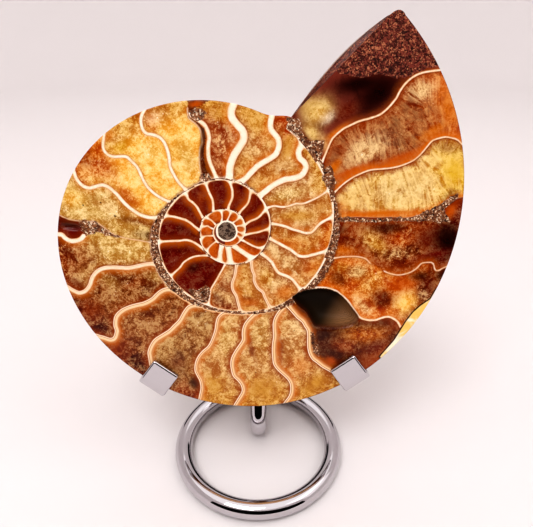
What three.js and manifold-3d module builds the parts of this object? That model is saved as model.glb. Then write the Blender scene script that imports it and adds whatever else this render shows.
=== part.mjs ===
// A cut and polished ammonite half on its chrome stand: a ring on the table, a rod that rises from
// the ring's centre behind the fossil, and two flat spring clips that hold the fossil's lower edge.
// Millimetres, +Z up. The polished face looks towards -Y and leans back.
import * as THREE from "three";
import { mergeVertices } from "three/addons/utils/BufferGeometryUtils.js";
import Module from "manifold-3d";

const wasm = await Module();
wasm.setup();

// The stand's ring and rod
const RING_RADIUS = 22.5;
const ROD_RADIUS = 2.5;
const RING_SIDES = 16;
const RING_STEPS = 48;
const STEM_SIDES = 12;
const STEM_STEPS_PER_BEND = 7;
const ELBOW_RADIUS = 5.0;
const TOP_BEND_RADIUS = 16.0;
const TOP_BEND_BELOW_RIVET = 14.0;
const TONGUE_THICKNESS = 2.0;
const TONGUE_LENGTH = 7.5;
const TAPER_START = 14.0;
const TONGUE_STATIONS = [0.3, 0.45, 0.6, 0.75, 0.88, 0.96, 1];
const BLUNT_END_SHARE = 0.3;

// The two clips and the rivet that joins them to the rod: the clips' angles are those on the face
const STRIP_WIDTH = 8.0;
const STRIP_THICKNESS = 1.5;
const LEFT_CLIP_ANGLE = -126.4;
const RIGHT_CLIP_ANGLE = -54.2;
const PLATE_OVERLAP = 6.2;
const RIM_CLEARANCE = 0.75;
const HOOK_FRONT_RADIUS = 1.7;
const HOOK_BACK_RADIUS = 3.6;
const LEFT_HOOK_DEPTH = 9.6;
const RIGHT_HOOK_DEPTH = 10.8;
const CLIP_BEND_RADIUS = 12.0;
const CLIP_STEPS_PER_BEND = 6;
const ROUND_END_STEPS = 10;
const RIM_SEARCH_START = 20.0;
const RIM_SEARCH_STEPS = 60;
const RIVET_RADIUS = 1.5;
const RIVET_HEAD_RADIUS = 2.9;
const RIVET_HEAD_HEIGHT = 1.1;
const RIVET_HEAD_STATIONS = [0, 0.35, 0.7, 1];
const RIVET_SIDES = 20;
const RIVET_HOLE_SIDES = 16;
const GAP = 0.3;

// The fossil: its face is set by the middle of the spiral and the way it leans
const FACE_LEAN = 14.3;
const SPIRAL_CENTRE = new THREE.Vector3(-7.6, 7.7, 69.5);
const FACE_RADIUS = 60.45;
const GROWTH_PER_RADIAN = 0.1303;
const WIDTH_SHARE = 0.232;
const UNEVENNESS = [
  { waves: 1, cosine: -0.0413, sine: -0.0143 },
  { waves: 2, cosine: 0.022, sine: 0 },
  { waves: 3, cosine: -0.0072, sine: 0.0063 },
];
const APERTURE_START = 50.0;
const NOTCH_ANGLE = -300.0;
const NOTCH_FILL = 2.7;
const NOTCH_FILL_START = -303.0;
const NOTCH_FILL_END = -284.0;
const NOTCH_FILL_SPAN = 17.0;

// The mouth's broken edge on the face, from the tip down to the notch, and how its wall leans out
const TIP_CORNER = new THREE.Vector2(40.9, 52.6);
const EDGE_TOP = new THREE.Vector2(38.5, 50.4);
const EDGE_BOTTOM = new THREE.Vector2(16.6, 28.4);
const TIP_STATIONS = [0.33, 0.67];
const APERTURE_FLARE = 1.9;
const FLARE_SHARES = [0, 0.75, 1.0];
const MOUTH_WALL_SHARES = [0, 0.4, 0.8];
const FLARE_START = 0.3;
const FLARE_POWER = 0.8;

// The fossil's back: shares of the way from the middle of the spiral to the edge of a turn
const CREST = 0.45;
const SHOULDER = 0.355;
const INNER_LIMIT = 0.25;
const FLANK_POWER = 2.3;
const SHOULDER_POWER = 2.4;
const INNER_SLOPE = 0.5;
const TURNS_BEHIND = 4;
const UMBILICUS_FLOOR = 3.6;
const FLOOR_START = 4.0;
const FLOOR_END = 30.0;
const FLOOR_DROP = 0.9;
const RIBS_PER_TURN = 24;
const RIB_HEIGHT = 0.3;
const RIB_BEND = 0.35;
const RIB_BEND_MIDDLE = 0.6;
const RIB_LEAN = 0.12;
const RIB_FADE_IN = [0.42, 0.6];
const RIB_FADE_OUT = [0.86, 0.97];

// How finely the fossil is drawn: points along the spiral and the mouth's edge, and the rings of
// points from the edge towards the middle
const SPIRAL_STEPS = 112;
const EDGE_STEPS = 10;
const RING_SHARES = [1, 0.994, 0.976, 0.946, 0.906, 0.86, 0.805, 0.745, 0.68, 0.61, 0.54, 0.47,
  0.41, 0.365, 0.335, 0.305, 0.28, 0.25, 0.215, 0.175, 0.135, 0.09, 0.045];
const INSIDE_EDGE = 0.02;

// The open hollows in the face: where the middle lies, the tilt of the long side, and the sizes
const HOLLOWS = [
  { right: 25.9, up: -20.6, tilt: -18, length: 17.6, width: 8.9, depth: 4.8 },
  { right: -6.3, up: -16.8, tilt: -40, length: 2.0, width: 1.4, depth: 1.2 },
  { right: -5.6, up: 21.6, tilt: 84, length: 8.0, width: 1.0, depth: 1.1 },
  { right: -39.5, up: 1.0, tilt: -6, length: 6.0, width: 1.3, depth: 0.9 },
];
const HOLLOW_SIDES = 18;
const HOLLOW_ROWS = 12;

// Where the rivet sits, in the face's own axes: right, and up the face; then how far behind the
// face the nearer strip lies, and how far the rod's hole runs before and behind that
const RIVET_PLACE = new THREE.Vector2(7.6, -4.0);
const FIRST_STRIP_DEPTH = 15.1;
const ROD_HOLE_BEFORE = 5.0;
const ROD_HOLE_BEHIND = 12.0;
const STRIP_HOLE_REACH = 2.0;

// Points nearer to each other than this are joined into one
const SAME_PLACE = 1e-4;

const degrees = (angle) => THREE.MathUtils.degToRad(angle);
const smoothstep = THREE.MathUtils.smoothstep;

// Solids and meshes

function solidOf(geometry) {
  geometry.deleteAttribute("normal");
  geometry.deleteAttribute("uv");
  const merged = mergeVertices(geometry, SAME_PLACE);
  const vertProperties = new Float32Array(merged.getAttribute("position").array);
  const triVerts = new Uint32Array(merged.index.array);
  return new wasm.Manifold(new wasm.Mesh({ numProp: 3, vertProperties, triVerts }));
}

function geometryOf(solid) {
  const mesh = solid.getMesh();
  const geometry = new THREE.BufferGeometry();
  geometry.setAttribute("position", new THREE.BufferAttribute(mesh.vertProperties, 3));
  geometry.setIndex(new THREE.BufferAttribute(mesh.triVerts, 1));
  return geometry;
}

function closedMesh(vertices, triangles) {
  const geometry = new THREE.BufferGeometry();
  geometry.setAttribute("position", new THREE.Float32BufferAttribute(vertices, 3));
  geometry.setIndex(triangles);
  return geometry;
}

// A rounded section carried along stations: each has a centre, two axes and two half sizes.
function sweep(stations, sides) {
  const vertices = [];
  const triangles = [];
  for (const { centre, across, normal, halfWidth, halfThick } of stations) {
    for (let side = 0; side < sides; side += 1) {
      const turn = ((side + 0.5) / sides) * 2 * Math.PI;
      const point = centre.clone();
      point.addScaledVector(across, halfWidth * Math.cos(turn));
      point.addScaledVector(normal, halfThick * Math.sin(turn));
      vertices.push(point.x, point.y, point.z);
    }
  }
  for (let row = 0; row < stations.length - 1; row += 1) {
    for (let side = 0; side < sides; side += 1) {
      const next = (side + 1) % sides;
      const a = row * sides + side;
      const b = row * sides + next;
      triangles.push(a, b, b + sides, a, b + sides, a + sides);
    }
  }
  const last = (stations.length - 1) * sides;
  for (let side = 1; side < sides - 1; side += 1) {
    triangles.push(0, side + 1, side);
    triangles.push(last, last + side, last + side + 1);
  }
  return closedMesh(vertices, triangles);
}

// A flat path of straight runs whose corners are rounded by the radius given at each corner.
function roundedPath(corners, stepsPerArc) {
  const points = [corners[0].place.clone()];
  for (let i = 1; i < corners.length - 1; i += 1) {
    const { place, radius } = corners[i];
    const before = corners[i - 1].place.clone().sub(place).normalize();
    const after = corners[i + 1].place.clone().sub(place).normalize();
    const halfAngle = Math.acos(THREE.MathUtils.clamp(before.dot(after), -1, 1)) / 2;
    const setback = radius / Math.tan(halfAngle);
    const middle = before.clone().add(after).normalize();
    const centre = place.clone().addScaledVector(middle, radius / Math.sin(halfAngle));
    const start = place.clone().addScaledVector(before, setback).sub(centre);
    const end = place.clone().addScaledVector(after, setback).sub(centre);
    const turn = Math.PI - 2 * halfAngle;
    const way = Math.sign(start.x * end.y - start.y * end.x);
    for (let step = 0; step <= stepsPerArc; step += 1) {
      const arm = start.clone().rotateAround(new THREE.Vector2(), (way * turn * step) / stepsPerArc);
      points.push(centre.clone().add(arm));
    }
  }
  points.push(corners[corners.length - 1].place.clone());
  return points;
}

// The fossil

// The shell's outer wall: a spiral that grows with the angle turned, with the slight unevenness
// of this one. Angles are in radians, and run on from one turn to the next.
function wallRadius(angle) {
  let growth = GROWTH_PER_RADIAN * angle;
  for (const { waves, cosine, sine } of UNEVENNESS) {
    growth += cosine * Math.cos(waves * angle) + sine * Math.sin(waves * angle);
  }
  return FACE_RADIUS * Math.exp(growth);
}

// The outline of the last turn, with the stone that fills the notch under the shell's mouth.
function outlineRadius(angle) {
  const fill = smoothstep(degrees(NOTCH_FILL_END) - angle, 0, degrees(NOTCH_FILL_SPAN));
  const inNotch = angle > degrees(NOTCH_FILL_START) ? NOTCH_FILL * fill * fill : 0;
  return wallRadius(angle) + inNotch;
}

// How far one turn of the shell stands behind the face: a flank that swells from the outer edge,
// a rounded shoulder, and a steep wall down to the hollow middle.
function turnDepth(angle, radius) {
  const edge = outlineRadius(angle);
  const share = radius / edge;
  if (share >= 1 || share <= INNER_LIMIT) return 0;
  let profile = 1;
  if (share > CREST) {
    profile = Math.sqrt(1 - Math.pow((share - CREST) / (1 - CREST), FLANK_POWER));
  }
  if (share < CREST) {
    profile = 1 - (INNER_SLOPE * Math.pow(CREST - share, 2)) / (CREST - INNER_LIMIT);
  }
  if (share < SHOULDER) {
    profile *= Math.sqrt(1 - Math.pow((SHOULDER - share) / (SHOULDER - INNER_LIMIT), SHOULDER_POWER));
  }
  const sweepBack = RIB_BEND * Math.pow(share - RIB_BEND_MIDDLE, 2) - RIB_LEAN * share;
  const rib = Math.cos(RIBS_PER_TURN * (angle + sweepBack));
  const ribFade = smoothstep(share, ...RIB_FADE_IN) * (1 - smoothstep(share, ...RIB_FADE_OUT));
  return WIDTH_SHARE * edge * profile + RIB_HEIGHT * (edge / FACE_RADIUS) * rib * ribFade;
}

// The back of the fossil, where an older turn shows wherever the newer one doesn't cover it.
function backDepth(angle, radius) {
  let depth = UMBILICUS_FLOOR * (1 - smoothstep(radius, FLOOR_START, FLOOR_END) * FLOOR_DROP);
  for (let turn = 0; turn < TURNS_BEHIND; turn += 1) {
    depth = Math.max(depth, turnDepth(angle - turn * 2 * Math.PI, radius));
  }
  return depth;
}

// The cut face's outline, once round: the spiral from the notch to the tip of the mouth, the
// rounded tip, and the straight broken edge back to the notch.
function faceOutline() {
  const columns = [];
  for (let i = 0; i <= SPIRAL_STEPS; i += 1) {
    const angle = degrees(NOTCH_ANGLE + ((APERTURE_START - NOTCH_ANGLE) * i) / SPIRAL_STEPS);
    const radius = outlineRadius(angle);
    const place = new THREE.Vector2(radius * Math.cos(angle), radius * Math.sin(angle));
    columns.push({ angle, place, flare: 0 });
  }
  const tipEnd = columns[columns.length - 1].place;
  const tip = new THREE.QuadraticBezierCurve(tipEnd, TIP_CORNER, EDGE_TOP);
  for (const t of TIP_STATIONS) columns.push({ place: tip.getPoint(t), flare: 0 });
  for (let i = 0; i <= EDGE_STEPS; i += 1) {
    const place = EDGE_TOP.clone().lerp(EDGE_BOTTOM, i / EDGE_STEPS);
    const share = Math.pow((i + FLARE_START) / (EDGE_STEPS + 1), FLARE_POWER);
    columns.push({ place, flare: APERTURE_FLARE * Math.sin(Math.PI * share) });
  }
  for (const column of columns) {
    if (column.angle === undefined) column.angle = Math.atan2(column.place.y, column.place.x);
  }
  return columns;
}

// The whole half: a flat face, and rings of points behind it that close in on the middle.
function fossilShell() {
  const columns = faceOutline();
  const mouthNormal = new THREE.Vector2(-1, 1).normalize();
  const vertices = [];
  const triangles = [];
  const count = columns.length;
  for (const [ring, share] of RING_SHARES.entries()) {
    for (const { angle, place, flare } of columns) {
      const reach = place.length();
      const inMouth = flare > 0 && ring < MOUTH_WALL_SHARES.length;
      const point = place.clone().multiplyScalar(inMouth ? 1 : share);
      let depth = ring === 0 ? 0 : backDepth(angle, reach * share);
      if (inMouth) {
        point.addScaledVector(mouthNormal, flare * FLARE_SHARES[ring]);
        depth = backDepth(angle, reach - INSIDE_EDGE) * MOUTH_WALL_SHARES[ring];
      }
      vertices.push(point.x, depth, point.y);
    }
  }
  const faceMiddle = vertices.length / 3;
  vertices.push(0, 0, 0);
  vertices.push(0, UMBILICUS_FLOOR, 0);
  for (let ring = 0; ring < RING_SHARES.length - 1; ring += 1) {
    for (let i = 0; i < count; i += 1) {
      const next = (i + 1) % count;
      const a = ring * count + i;
      const b = ring * count + next;
      triangles.push(a, b + count, b, a, a + count, b + count);
    }
  }
  const lastRing = (RING_SHARES.length - 1) * count;
  for (let i = 0; i < count; i += 1) {
    const next = (i + 1) % count;
    triangles.push(faceMiddle, i, next);
    triangles.push(faceMiddle + 1, lastRing + next, lastRing + i);
  }
  return solidOf(closedMesh(vertices, triangles));
}

// An open hollow in the face: half of an ellipsoid, long along one direction.
function hollow({ right, up, tilt, length, width, depth }) {
  const shape = new THREE.SphereGeometry(1, HOLLOW_SIDES, HOLLOW_ROWS);
  shape.scale(length / 2, depth, width / 2);
  shape.rotateY(-degrees(tilt));
  shape.translate(right, 0, up);
  return solidOf(shape);
}

function ammoniteHalf() {
  let solid = fossilShell();
  for (const place of HOLLOWS) solid = solid.subtract(hollow(place));
  return geometryOf(solid);
}

// The stand

// The ring's round section is drawn with its flats outside the true round, one flat underneath.
function ringProfile(clearance) {
  const corner = (ROD_RADIUS + clearance) / Math.cos(Math.PI / RING_SIDES);
  const profile = [];
  for (let side = 0; side <= RING_SIDES; side += 1) {
    const turn = ((side + 0.5) / RING_SIDES) * 2 * Math.PI;
    profile.push(new THREE.Vector2(RING_RADIUS + corner * Math.cos(turn), corner * Math.sin(turn)));
  }
  profile[RING_SIDES].copy(profile[0]);
  return profile;
}

function ringGeometry(clearance) {
  const ring = new THREE.LatheGeometry(ringProfile(clearance), RING_STEPS);
  ring.rotateX(Math.PI / 2);
  ring.translate(0, 0, ROD_RADIUS);
  return ring;
}

const toWorld = (right, depth, up) => new THREE.Vector3(right, depth, up)
  .applyAxisAngle(new THREE.Vector3(1, 0, 0), -degrees(FACE_LEAN))
  .add(SPIRAL_CENTRE);

// The rod: along the table from the back of the ring, up in an elbow at its middle, then leaning
// back to end in a flat tongue behind the clips. Its path lies in the plane across the stand.
function stemSolid() {
  const rodDepth = FIRST_STRIP_DEPTH + 1.5 * STRIP_THICKNESS + 2 * GAP + ROD_RADIUS;
  const topEnd = toWorld(RIVET_PLACE.x, rodDepth, RIVET_PLACE.y + STRIP_WIDTH / 2);
  const topBend = toWorld(RIVET_PLACE.x, rodDepth, RIVET_PLACE.y - TOP_BEND_BELOW_RIVET);
  const corners = [
    { place: new THREE.Vector2(RING_RADIUS - 1, ROD_RADIUS) },
    { place: new THREE.Vector2(0, ROD_RADIUS), radius: ELBOW_RADIUS },
    { place: new THREE.Vector2(topBend.y, topBend.z), radius: TOP_BEND_RADIUS },
    { place: new THREE.Vector2(topEnd.y, topEnd.z) },
  ];
  const path = roundedPath(corners, STEM_STEPS_PER_BEND);
  const flatEnd = path.pop();
  const flatStart = path[path.length - 1].clone();
  for (const share of TONGUE_STATIONS) path.push(flatStart.clone().lerp(flatEnd, share));
  const stations = path.map((place, i) => {
    const before = path[Math.max(i - 1, 0)];
    const after = path[Math.min(i + 1, path.length - 1)];
    const along = after.clone().sub(before).normalize();
    const toEnd = place.distanceTo(flatEnd);
    const flat = 1 - smoothstep(toEnd, TONGUE_LENGTH, TAPER_START);
    const beyond = Math.max(0, STRIP_WIDTH / 2 - toEnd) / (STRIP_WIDTH / 2);
    const roundEnd = Math.sqrt(Math.max(1 - beyond * beyond, BLUNT_END_SHARE * BLUNT_END_SHARE));
    const halfThick = THREE.MathUtils.lerp(ROD_RADIUS, TONGUE_THICKNESS / 2, flat);
    const normal = new THREE.Vector3(0, -along.y, along.x);
    return {
      centre: new THREE.Vector3(0, place.x, place.y).addScaledVector(normal, ROD_RADIUS - halfThick),
      across: new THREE.Vector3(-1, 0, 0),
      normal,
      halfWidth: THREE.MathUtils.lerp(ROD_RADIUS, STRIP_WIDTH / 2, flat) * roundEnd,
      halfThick,
    };
  });
  const rod = solidOf(sweep(stations, STEM_SIDES));
  const hole = rivetHole(FIRST_STRIP_DEPTH - ROD_HOLE_BEFORE, FIRST_STRIP_DEPTH + ROD_HOLE_BEHIND);
  hole.rotateX(-degrees(FACE_LEAN));
  hole.translate(SPIRAL_CENTRE.x, SPIRAL_CENTRE.y, SPIRAL_CENTRE.z);
  return rod.subtract(solidOf(ringGeometry(GAP))).subtract(solidOf(hole));
}

function rivetHole(nearDepth, farDepth) {
  const radius = RIVET_RADIUS + GAP;
  const hole = new THREE.CylinderGeometry(radius, radius, farDepth - nearDepth, RIVET_HOLE_SIDES);
  hole.translate(RIVET_PLACE.x, (nearDepth + farDepth) / 2, RIVET_PLACE.y);
  return hole;
}

// How far the fossil's edge lies from the rivet along a clip.
function rimDistance(angle) {
  const way = new THREE.Vector2(Math.cos(degrees(angle)), Math.sin(degrees(angle)));
  let reach = RIM_SEARCH_START;
  for (let i = 0; i < RIM_SEARCH_STEPS; i += 1) {
    const spot = RIVET_PLACE.clone().addScaledVector(way, reach);
    const bearing = Math.atan2(spot.y, spot.x);
    reach += outlineRadius(bearing) - spot.length();
  }
  return reach;
}

// A clip: a flat strip that lies behind the fossil from the rivet to its edge, turns under the
// edge, and comes up in front as a short plate. Its side view is drawn along the strip and in
// depth, then widened, rounded at the rivet and drilled.
function clipSolid(angle, stripDepth, hookDepth) {
  const rim = rimDistance(angle);
  const half = STRIP_THICKNESS / 2;
  const under = rim + RIM_CLEARANCE + half;
  const front = -(GAP + half);
  const corners = [
    { place: new THREE.Vector2(-STRIP_WIDTH, stripDepth) },
    { place: new THREE.Vector2(STRIP_WIDTH, stripDepth), radius: CLIP_BEND_RADIUS },
    { place: new THREE.Vector2(under, hookDepth), radius: HOOK_BACK_RADIUS },
    { place: new THREE.Vector2(under, front), radius: HOOK_FRONT_RADIUS },
    { place: new THREE.Vector2(rim - PLATE_OVERLAP, front) },
  ];
  const path = roundedPath(corners, CLIP_STEPS_PER_BEND);
  const sides = [[], []];
  for (const [i, place] of path.entries()) {
    const before = path[Math.max(i - 1, 0)];
    const after = path[Math.min(i + 1, path.length - 1)];
    const along = after.clone().sub(before).normalize();
    const out = new THREE.Vector2(-along.y, along.x).multiplyScalar(half);
    sides[0].push(place.clone().add(out));
    sides[1].push(place.clone().sub(out));
  }
  const sideView = new THREE.Shape([...sides[0], ...sides[1].reverse()]);
  const strip = new THREE.ExtrudeGeometry(sideView, { depth: STRIP_WIDTH, bevelEnabled: false });
  strip.translate(0, 0, -STRIP_WIDTH / 2);
  const plan = new THREE.Shape();
  const planEnd = under + STRIP_WIDTH;
  plan.moveTo(planEnd, -STRIP_WIDTH);
  plan.lineTo(planEnd, STRIP_WIDTH);
  plan.lineTo(0, STRIP_WIDTH);
  plan.lineTo(0, STRIP_WIDTH / 2);
  plan.absarc(0, 0, STRIP_WIDTH / 2, Math.PI / 2, 1.5 * Math.PI, false);
  plan.lineTo(0, -STRIP_WIDTH);
  const planDepth = 4 * FIRST_STRIP_DEPTH;
  const planSettings = { depth: planDepth, bevelEnabled: false, curveSegments: ROUND_END_STEPS };
  const outline = new THREE.ExtrudeGeometry(plan, planSettings);
  outline.translate(0, 0, -planDepth / 2);
  outline.rotateX(Math.PI / 2);
  const solid = solidOf(strip).intersect(solidOf(outline));
  const turned = geometryOf(solid);
  turned.rotateY(-degrees(angle));
  turned.translate(RIVET_PLACE.x, 0, RIVET_PLACE.y);
  const hole = rivetHole(stripDepth - STRIP_HOLE_REACH, stripDepth + STRIP_HOLE_REACH);
  return solidOf(turned).subtract(solidOf(hole));
}

// The rivet: a shank with a low domed head at each end.
function rivetGeometry() {
  const stack = 2 * (STRIP_THICKNESS + GAP) + TONGUE_THICKNESS;
  const low = FIRST_STRIP_DEPTH - STRIP_THICKNESS / 2 - GAP;
  const high = low + stack + 2 * GAP;
  const head = (base, way) => RIVET_HEAD_STATIONS.map((share) => {
    const slope = (share * Math.PI) / 2;
    const radius = share === 1 ? 0 : RIVET_HEAD_RADIUS * Math.cos(slope);
    return new THREE.Vector2(radius, base + way * RIVET_HEAD_HEIGHT * Math.sin(slope));
  });
  const profile = [
    ...head(low, -1).reverse(),
    new THREE.Vector2(RIVET_RADIUS, low),
    new THREE.Vector2(RIVET_RADIUS, high),
    ...head(high, 1),
  ];
  const rivet = new THREE.LatheGeometry(profile, RIVET_SIDES);
  rivet.translate(RIVET_PLACE.x, 0, RIVET_PLACE.y);
  return rivet;
}

// The scene graph

function named(name, geometry, material) {
  const mesh = new THREE.Mesh(geometry, material);
  mesh.name = name;
  return mesh;
}

const CHROME_LOOK = { color: 0xd8d8dc, roughness: 0.08, metalness: 1.0 };
const STONE_LOOK = { color: 0xb06a25, roughness: 0.2, metalness: 0.0 };
const chrome = () => new THREE.MeshStandardMaterial(CHROME_LOOK);
const stone = new THREE.MeshStandardMaterial(STONE_LOOK);

const base = new THREE.Group();
base.add(named("ring_base", ringGeometry(0), chrome()));
base.add(named("stem", geometryOf(stemSolid()), chrome()));

const held = new THREE.Group();
held.position.copy(SPIRAL_CENTRE);
held.rotation.x = -degrees(FACE_LEAN);
held.add(named("ammonite_half", ammoniteHalf(), stone));
const secondStripDepth = FIRST_STRIP_DEPTH + STRIP_THICKNESS + GAP;
const leftClip = clipSolid(LEFT_CLIP_ANGLE, FIRST_STRIP_DEPTH, LEFT_HOOK_DEPTH);
const rightClip = clipSolid(RIGHT_CLIP_ANGLE, secondStripDepth, RIGHT_HOOK_DEPTH);
held.add(named("clip_left", geometryOf(leftClip), chrome()));
held.add(named("clip_right", geometryOf(rightClip), chrome()));
held.add(named("rivet", rivetGeometry(), chrome()));

// The origin is under the middle of the whole part, on the surface it stands on.
const part = new THREE.Group();
part.add(base, held);
part.updateMatrixWorld(true);
const box = new THREE.Box3().setFromObject(part, true);
const middle = box.getCenter(new THREE.Vector3());
part.position.set(-middle.x, -middle.y, -box.min.z);

export default part;
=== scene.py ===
"""A cut and polished ammonite half on its chrome ring stand: the looks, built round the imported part.

Lengths are in millimetres until a mesh is made. The cut face has its own axes, from the middle of
the spiral: right, depth behind the face, and up the face. An angle round the spiral runs on from
one turn of the shell to the next, and falls towards the middle.
"""

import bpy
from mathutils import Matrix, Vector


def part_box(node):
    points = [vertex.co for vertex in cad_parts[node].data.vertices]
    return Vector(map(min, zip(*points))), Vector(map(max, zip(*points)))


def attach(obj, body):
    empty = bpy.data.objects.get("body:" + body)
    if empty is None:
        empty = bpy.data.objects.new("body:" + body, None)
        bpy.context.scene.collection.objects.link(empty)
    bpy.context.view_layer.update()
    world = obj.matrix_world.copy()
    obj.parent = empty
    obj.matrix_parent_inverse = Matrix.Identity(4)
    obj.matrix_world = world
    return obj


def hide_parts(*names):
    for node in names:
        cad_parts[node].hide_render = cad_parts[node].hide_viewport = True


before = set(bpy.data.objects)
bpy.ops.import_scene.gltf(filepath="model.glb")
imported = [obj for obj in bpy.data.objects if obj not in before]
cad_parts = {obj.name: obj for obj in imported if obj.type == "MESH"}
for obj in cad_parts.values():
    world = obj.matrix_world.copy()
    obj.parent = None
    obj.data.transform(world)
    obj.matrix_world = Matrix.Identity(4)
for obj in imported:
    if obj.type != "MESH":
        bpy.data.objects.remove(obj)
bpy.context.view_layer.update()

import math
from types import SimpleNamespace

import bpy
import numpy as np

MM = 0.001
TAU = 2.0 * math.pi

# The stand
RING_RADIUS = 22.5
ROD_RADIUS = 2.5
ROD_RUN_IN = 1.0
ELBOW_RADIUS = 5.0
TOP_BEND_RADIUS = 16.0
TOP_BEND_BELOW_RIVET = 14.0
TONGUE_THICKNESS = 2.0
TONGUE_LENGTH = 7.5
TONGUE_AND_BLEND = 14.0
STRIP_WIDTH = 8.0
STRIP_THICKNESS = 1.5
STRIP_EDGE_RADIUS = 0.5
LEFT_CLIP_ANGLE = -126.4
RIGHT_CLIP_ANGLE = -54.2
PLATE_OVERLAP = 6.2
RIM_CLEARANCE = 0.75
BACK_BEND_RADIUS = 12.0
HOOK_FRONT_RADIUS = 1.7
HOOK_BACK_RADIUS = 3.6
LEFT_HOOK_DEPTH = 9.6
RIGHT_HOOK_DEPTH = 10.8
FIRST_STRIP_DEPTH = 15.1
GAP = 0.3
RIVET_PLACE = np.array([7.6, -4.0])
RIVET_RADIUS = 1.5
RIVET_HEAD_RADIUS = 2.9
RIVET_HEAD_HEIGHT = 1.1

# How finely the stand's curves are cut
RING_STEPS = 160
ROD_SIDES = 40
STEM_STEPS = 110
STEM_BEND_STEPS = 24
TONGUE_END_STEPS = 12
STRIP_STEPS = 150
STRIP_BEND_STEPS = 20
STRIP_END_STEPS = 14
STRIP_EDGE_STEPS = 5
PLATE_END_STEPS = 6
RIVET_SIDES = 48
DOME_STEPS = 14

# The fossil
FACE_LEAN = math.radians(14.3)
SPIRAL_CENTRE = np.array([-7.6, 7.7, 69.5])
FACE_RADIUS = 60.45
GROWTH_PER_RADIAN = 0.1303
# The unevenness of the wall: waves to the turn, and the cosine's and the sine's size
UNEVEN_WAVES = [(1, -0.0413, -0.0143), (2, 0.022, 0.0), (3, -0.0072, 0.0063)]
NOTCH_ANGLE = math.radians(-300.0)
APERTURE_START = math.radians(50.0)
NOTCH_FILL = 2.7
NOTCH_FILL_FROM = math.radians(-284.0)
NOTCH_FILL_TURN = math.radians(17.0)
LAST_TURN_FROM = math.radians(-303.0)
# One turn in section: its depth as a share of its radius, and as shares of its radius where its inner
# edge, its shoulder and its crest stand
WIDTH_SHARE = 0.232
INNER_EDGE = 0.25
SHOULDER = 0.355
CREST = 0.45
TURNS = 4
APERTURE_FLARE = 1.9
# The floor of the hollow middle: its depth, and the radii between which it thins away
UMBILICUS_FLOOR = 3.6
UMBILICUS_LEVEL = 4.0
UMBILICUS_REACH = 30.0
RIBS_PER_TURN = 24
RIB_HEIGHT = 0.3
RIB_BEND = 0.35
RIB_BEND_MIDDLE = 0.6
RIB_LEAN = 0.12
SUTURES_END = math.radians(38.0)
# The sutures' waves: how many across a turn, and how far they reach, in ribs' steps
SUTURE_WAVES = [(21.0, 0.2), (58.0, 0.1), (137.0, 0.05)]
# The ends of the mouth's straight broken edge, and the corner that the tip's curve is drawn towards
EDGE_TOP = np.array([38.5, 50.4])
EDGE_BOTTOM = np.array([16.6, 28.4])
TIP_CORNER = np.array([40.9, 52.6])
# The small bevel between the face and the back
ARRIS = 0.16

# The ring's middle in the part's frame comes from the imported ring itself
ring_low, ring_high = (np.array(corner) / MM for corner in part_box("ring_base"))
RING_CENTRE = np.array([(ring_low[0] + ring_high[0]) / 2, (ring_low[1] + ring_high[1]) / 2, 0.0])

# The camera stands where the photographer's did, worked out from the ring's outline
CAMERA_PLACE = RING_CENTRE + np.array([2.5, -104.0, 119.6])
CAMERA_PITCH = math.radians(62.0)
PHOTO_MIDDLE = np.array([266.5, 263.5])
PHOTO_WIDTH = 533.0
PHOTO_FOCAL = 480.0
SENSOR = 36.0


def smoothstep(value, low, high):
    """Rises from 0 at low to 1 at high, level at both ends."""
    share = np.clip((value - low) / (high - low), 0.0, 1.0)
    return share * share * (3.0 - 2.0 * share)


def face_to_world(right, depth, up):
    """The face's axes turned back by its lean about the sideways axis, then set at the spiral's middle."""
    y = depth * math.cos(FACE_LEAN) + up * math.sin(FACE_LEAN)
    z = up * math.cos(FACE_LEAN) - depth * math.sin(FACE_LEAN)
    return np.stack([right + 0 * y, y, z], -1) + SPIRAL_CENTRE + RING_CENTRE


def from_photo(pixels):
    """A place in the photograph, put on the face: the camera's ray through it meets the face's plane."""
    pixels = np.asarray(pixels, float)
    across = (pixels[..., 0] - PHOTO_MIDDLE[0]) / PHOTO_FOCAL
    rise = (PHOTO_MIDDLE[1] - pixels[..., 1]) / PHOTO_FOCAL
    ray_y = math.cos(CAMERA_PITCH) * rise + math.sin(CAMERA_PITCH)
    ray_z = math.sin(CAMERA_PITCH) * rise - math.cos(CAMERA_PITCH)
    start = CAMERA_PLACE - SPIRAL_CENTRE - RING_CENTRE
    facing = ray_y * math.cos(FACE_LEAN) - ray_z * math.sin(FACE_LEAN)
    reach = -(start[1] * math.cos(FACE_LEAN) - start[2] * math.sin(FACE_LEAN)) / facing
    right = start[0] + reach * across
    y = start[1] + reach * ray_y
    z = start[2] + reach * ray_z
    return np.stack([right, y * math.sin(FACE_LEAN) + z * math.cos(FACE_LEAN)], -1)


# Making meshes


def make_piece(name, points, faces):
    """One object from points in millimetres and groups of three- or four-cornered faces, turned so
    that the volume they close is positive and every face looks outwards."""
    fans = [group[:, [0, i, i + 1]] for group in faces for i in range(1, group.shape[1] - 1)]
    triangles = np.concatenate(fans)
    a, b, c = (points[triangles[:, i]] for i in range(3))
    if np.einsum("ij,ij->i", a, np.cross(b, c)).sum() < 0:
        faces = [group[:, ::-1] for group in faces]
    corners = np.concatenate([group.ravel() for group in faces])
    sizes = np.concatenate([np.full(len(group), group.shape[1]) for group in faces])
    starts = np.cumsum(sizes) - sizes
    mesh = bpy.data.meshes.new(name)
    mesh.vertices.add(len(points))
    mesh.vertices.foreach_set("co", (points * MM).astype(np.float32).ravel())
    mesh.loops.add(len(corners))
    mesh.loops.foreach_set("vertex_index", corners.astype(np.int32))
    mesh.polygons.add(len(sizes))
    mesh.polygons.foreach_set("loop_start", starts.astype(np.int32))
    mesh.update(calc_edges=True)
    mesh.shade_smooth()
    piece = bpy.data.objects.new(name, mesh)
    bpy.context.scene.collection.objects.link(piece)
    return piece


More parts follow.
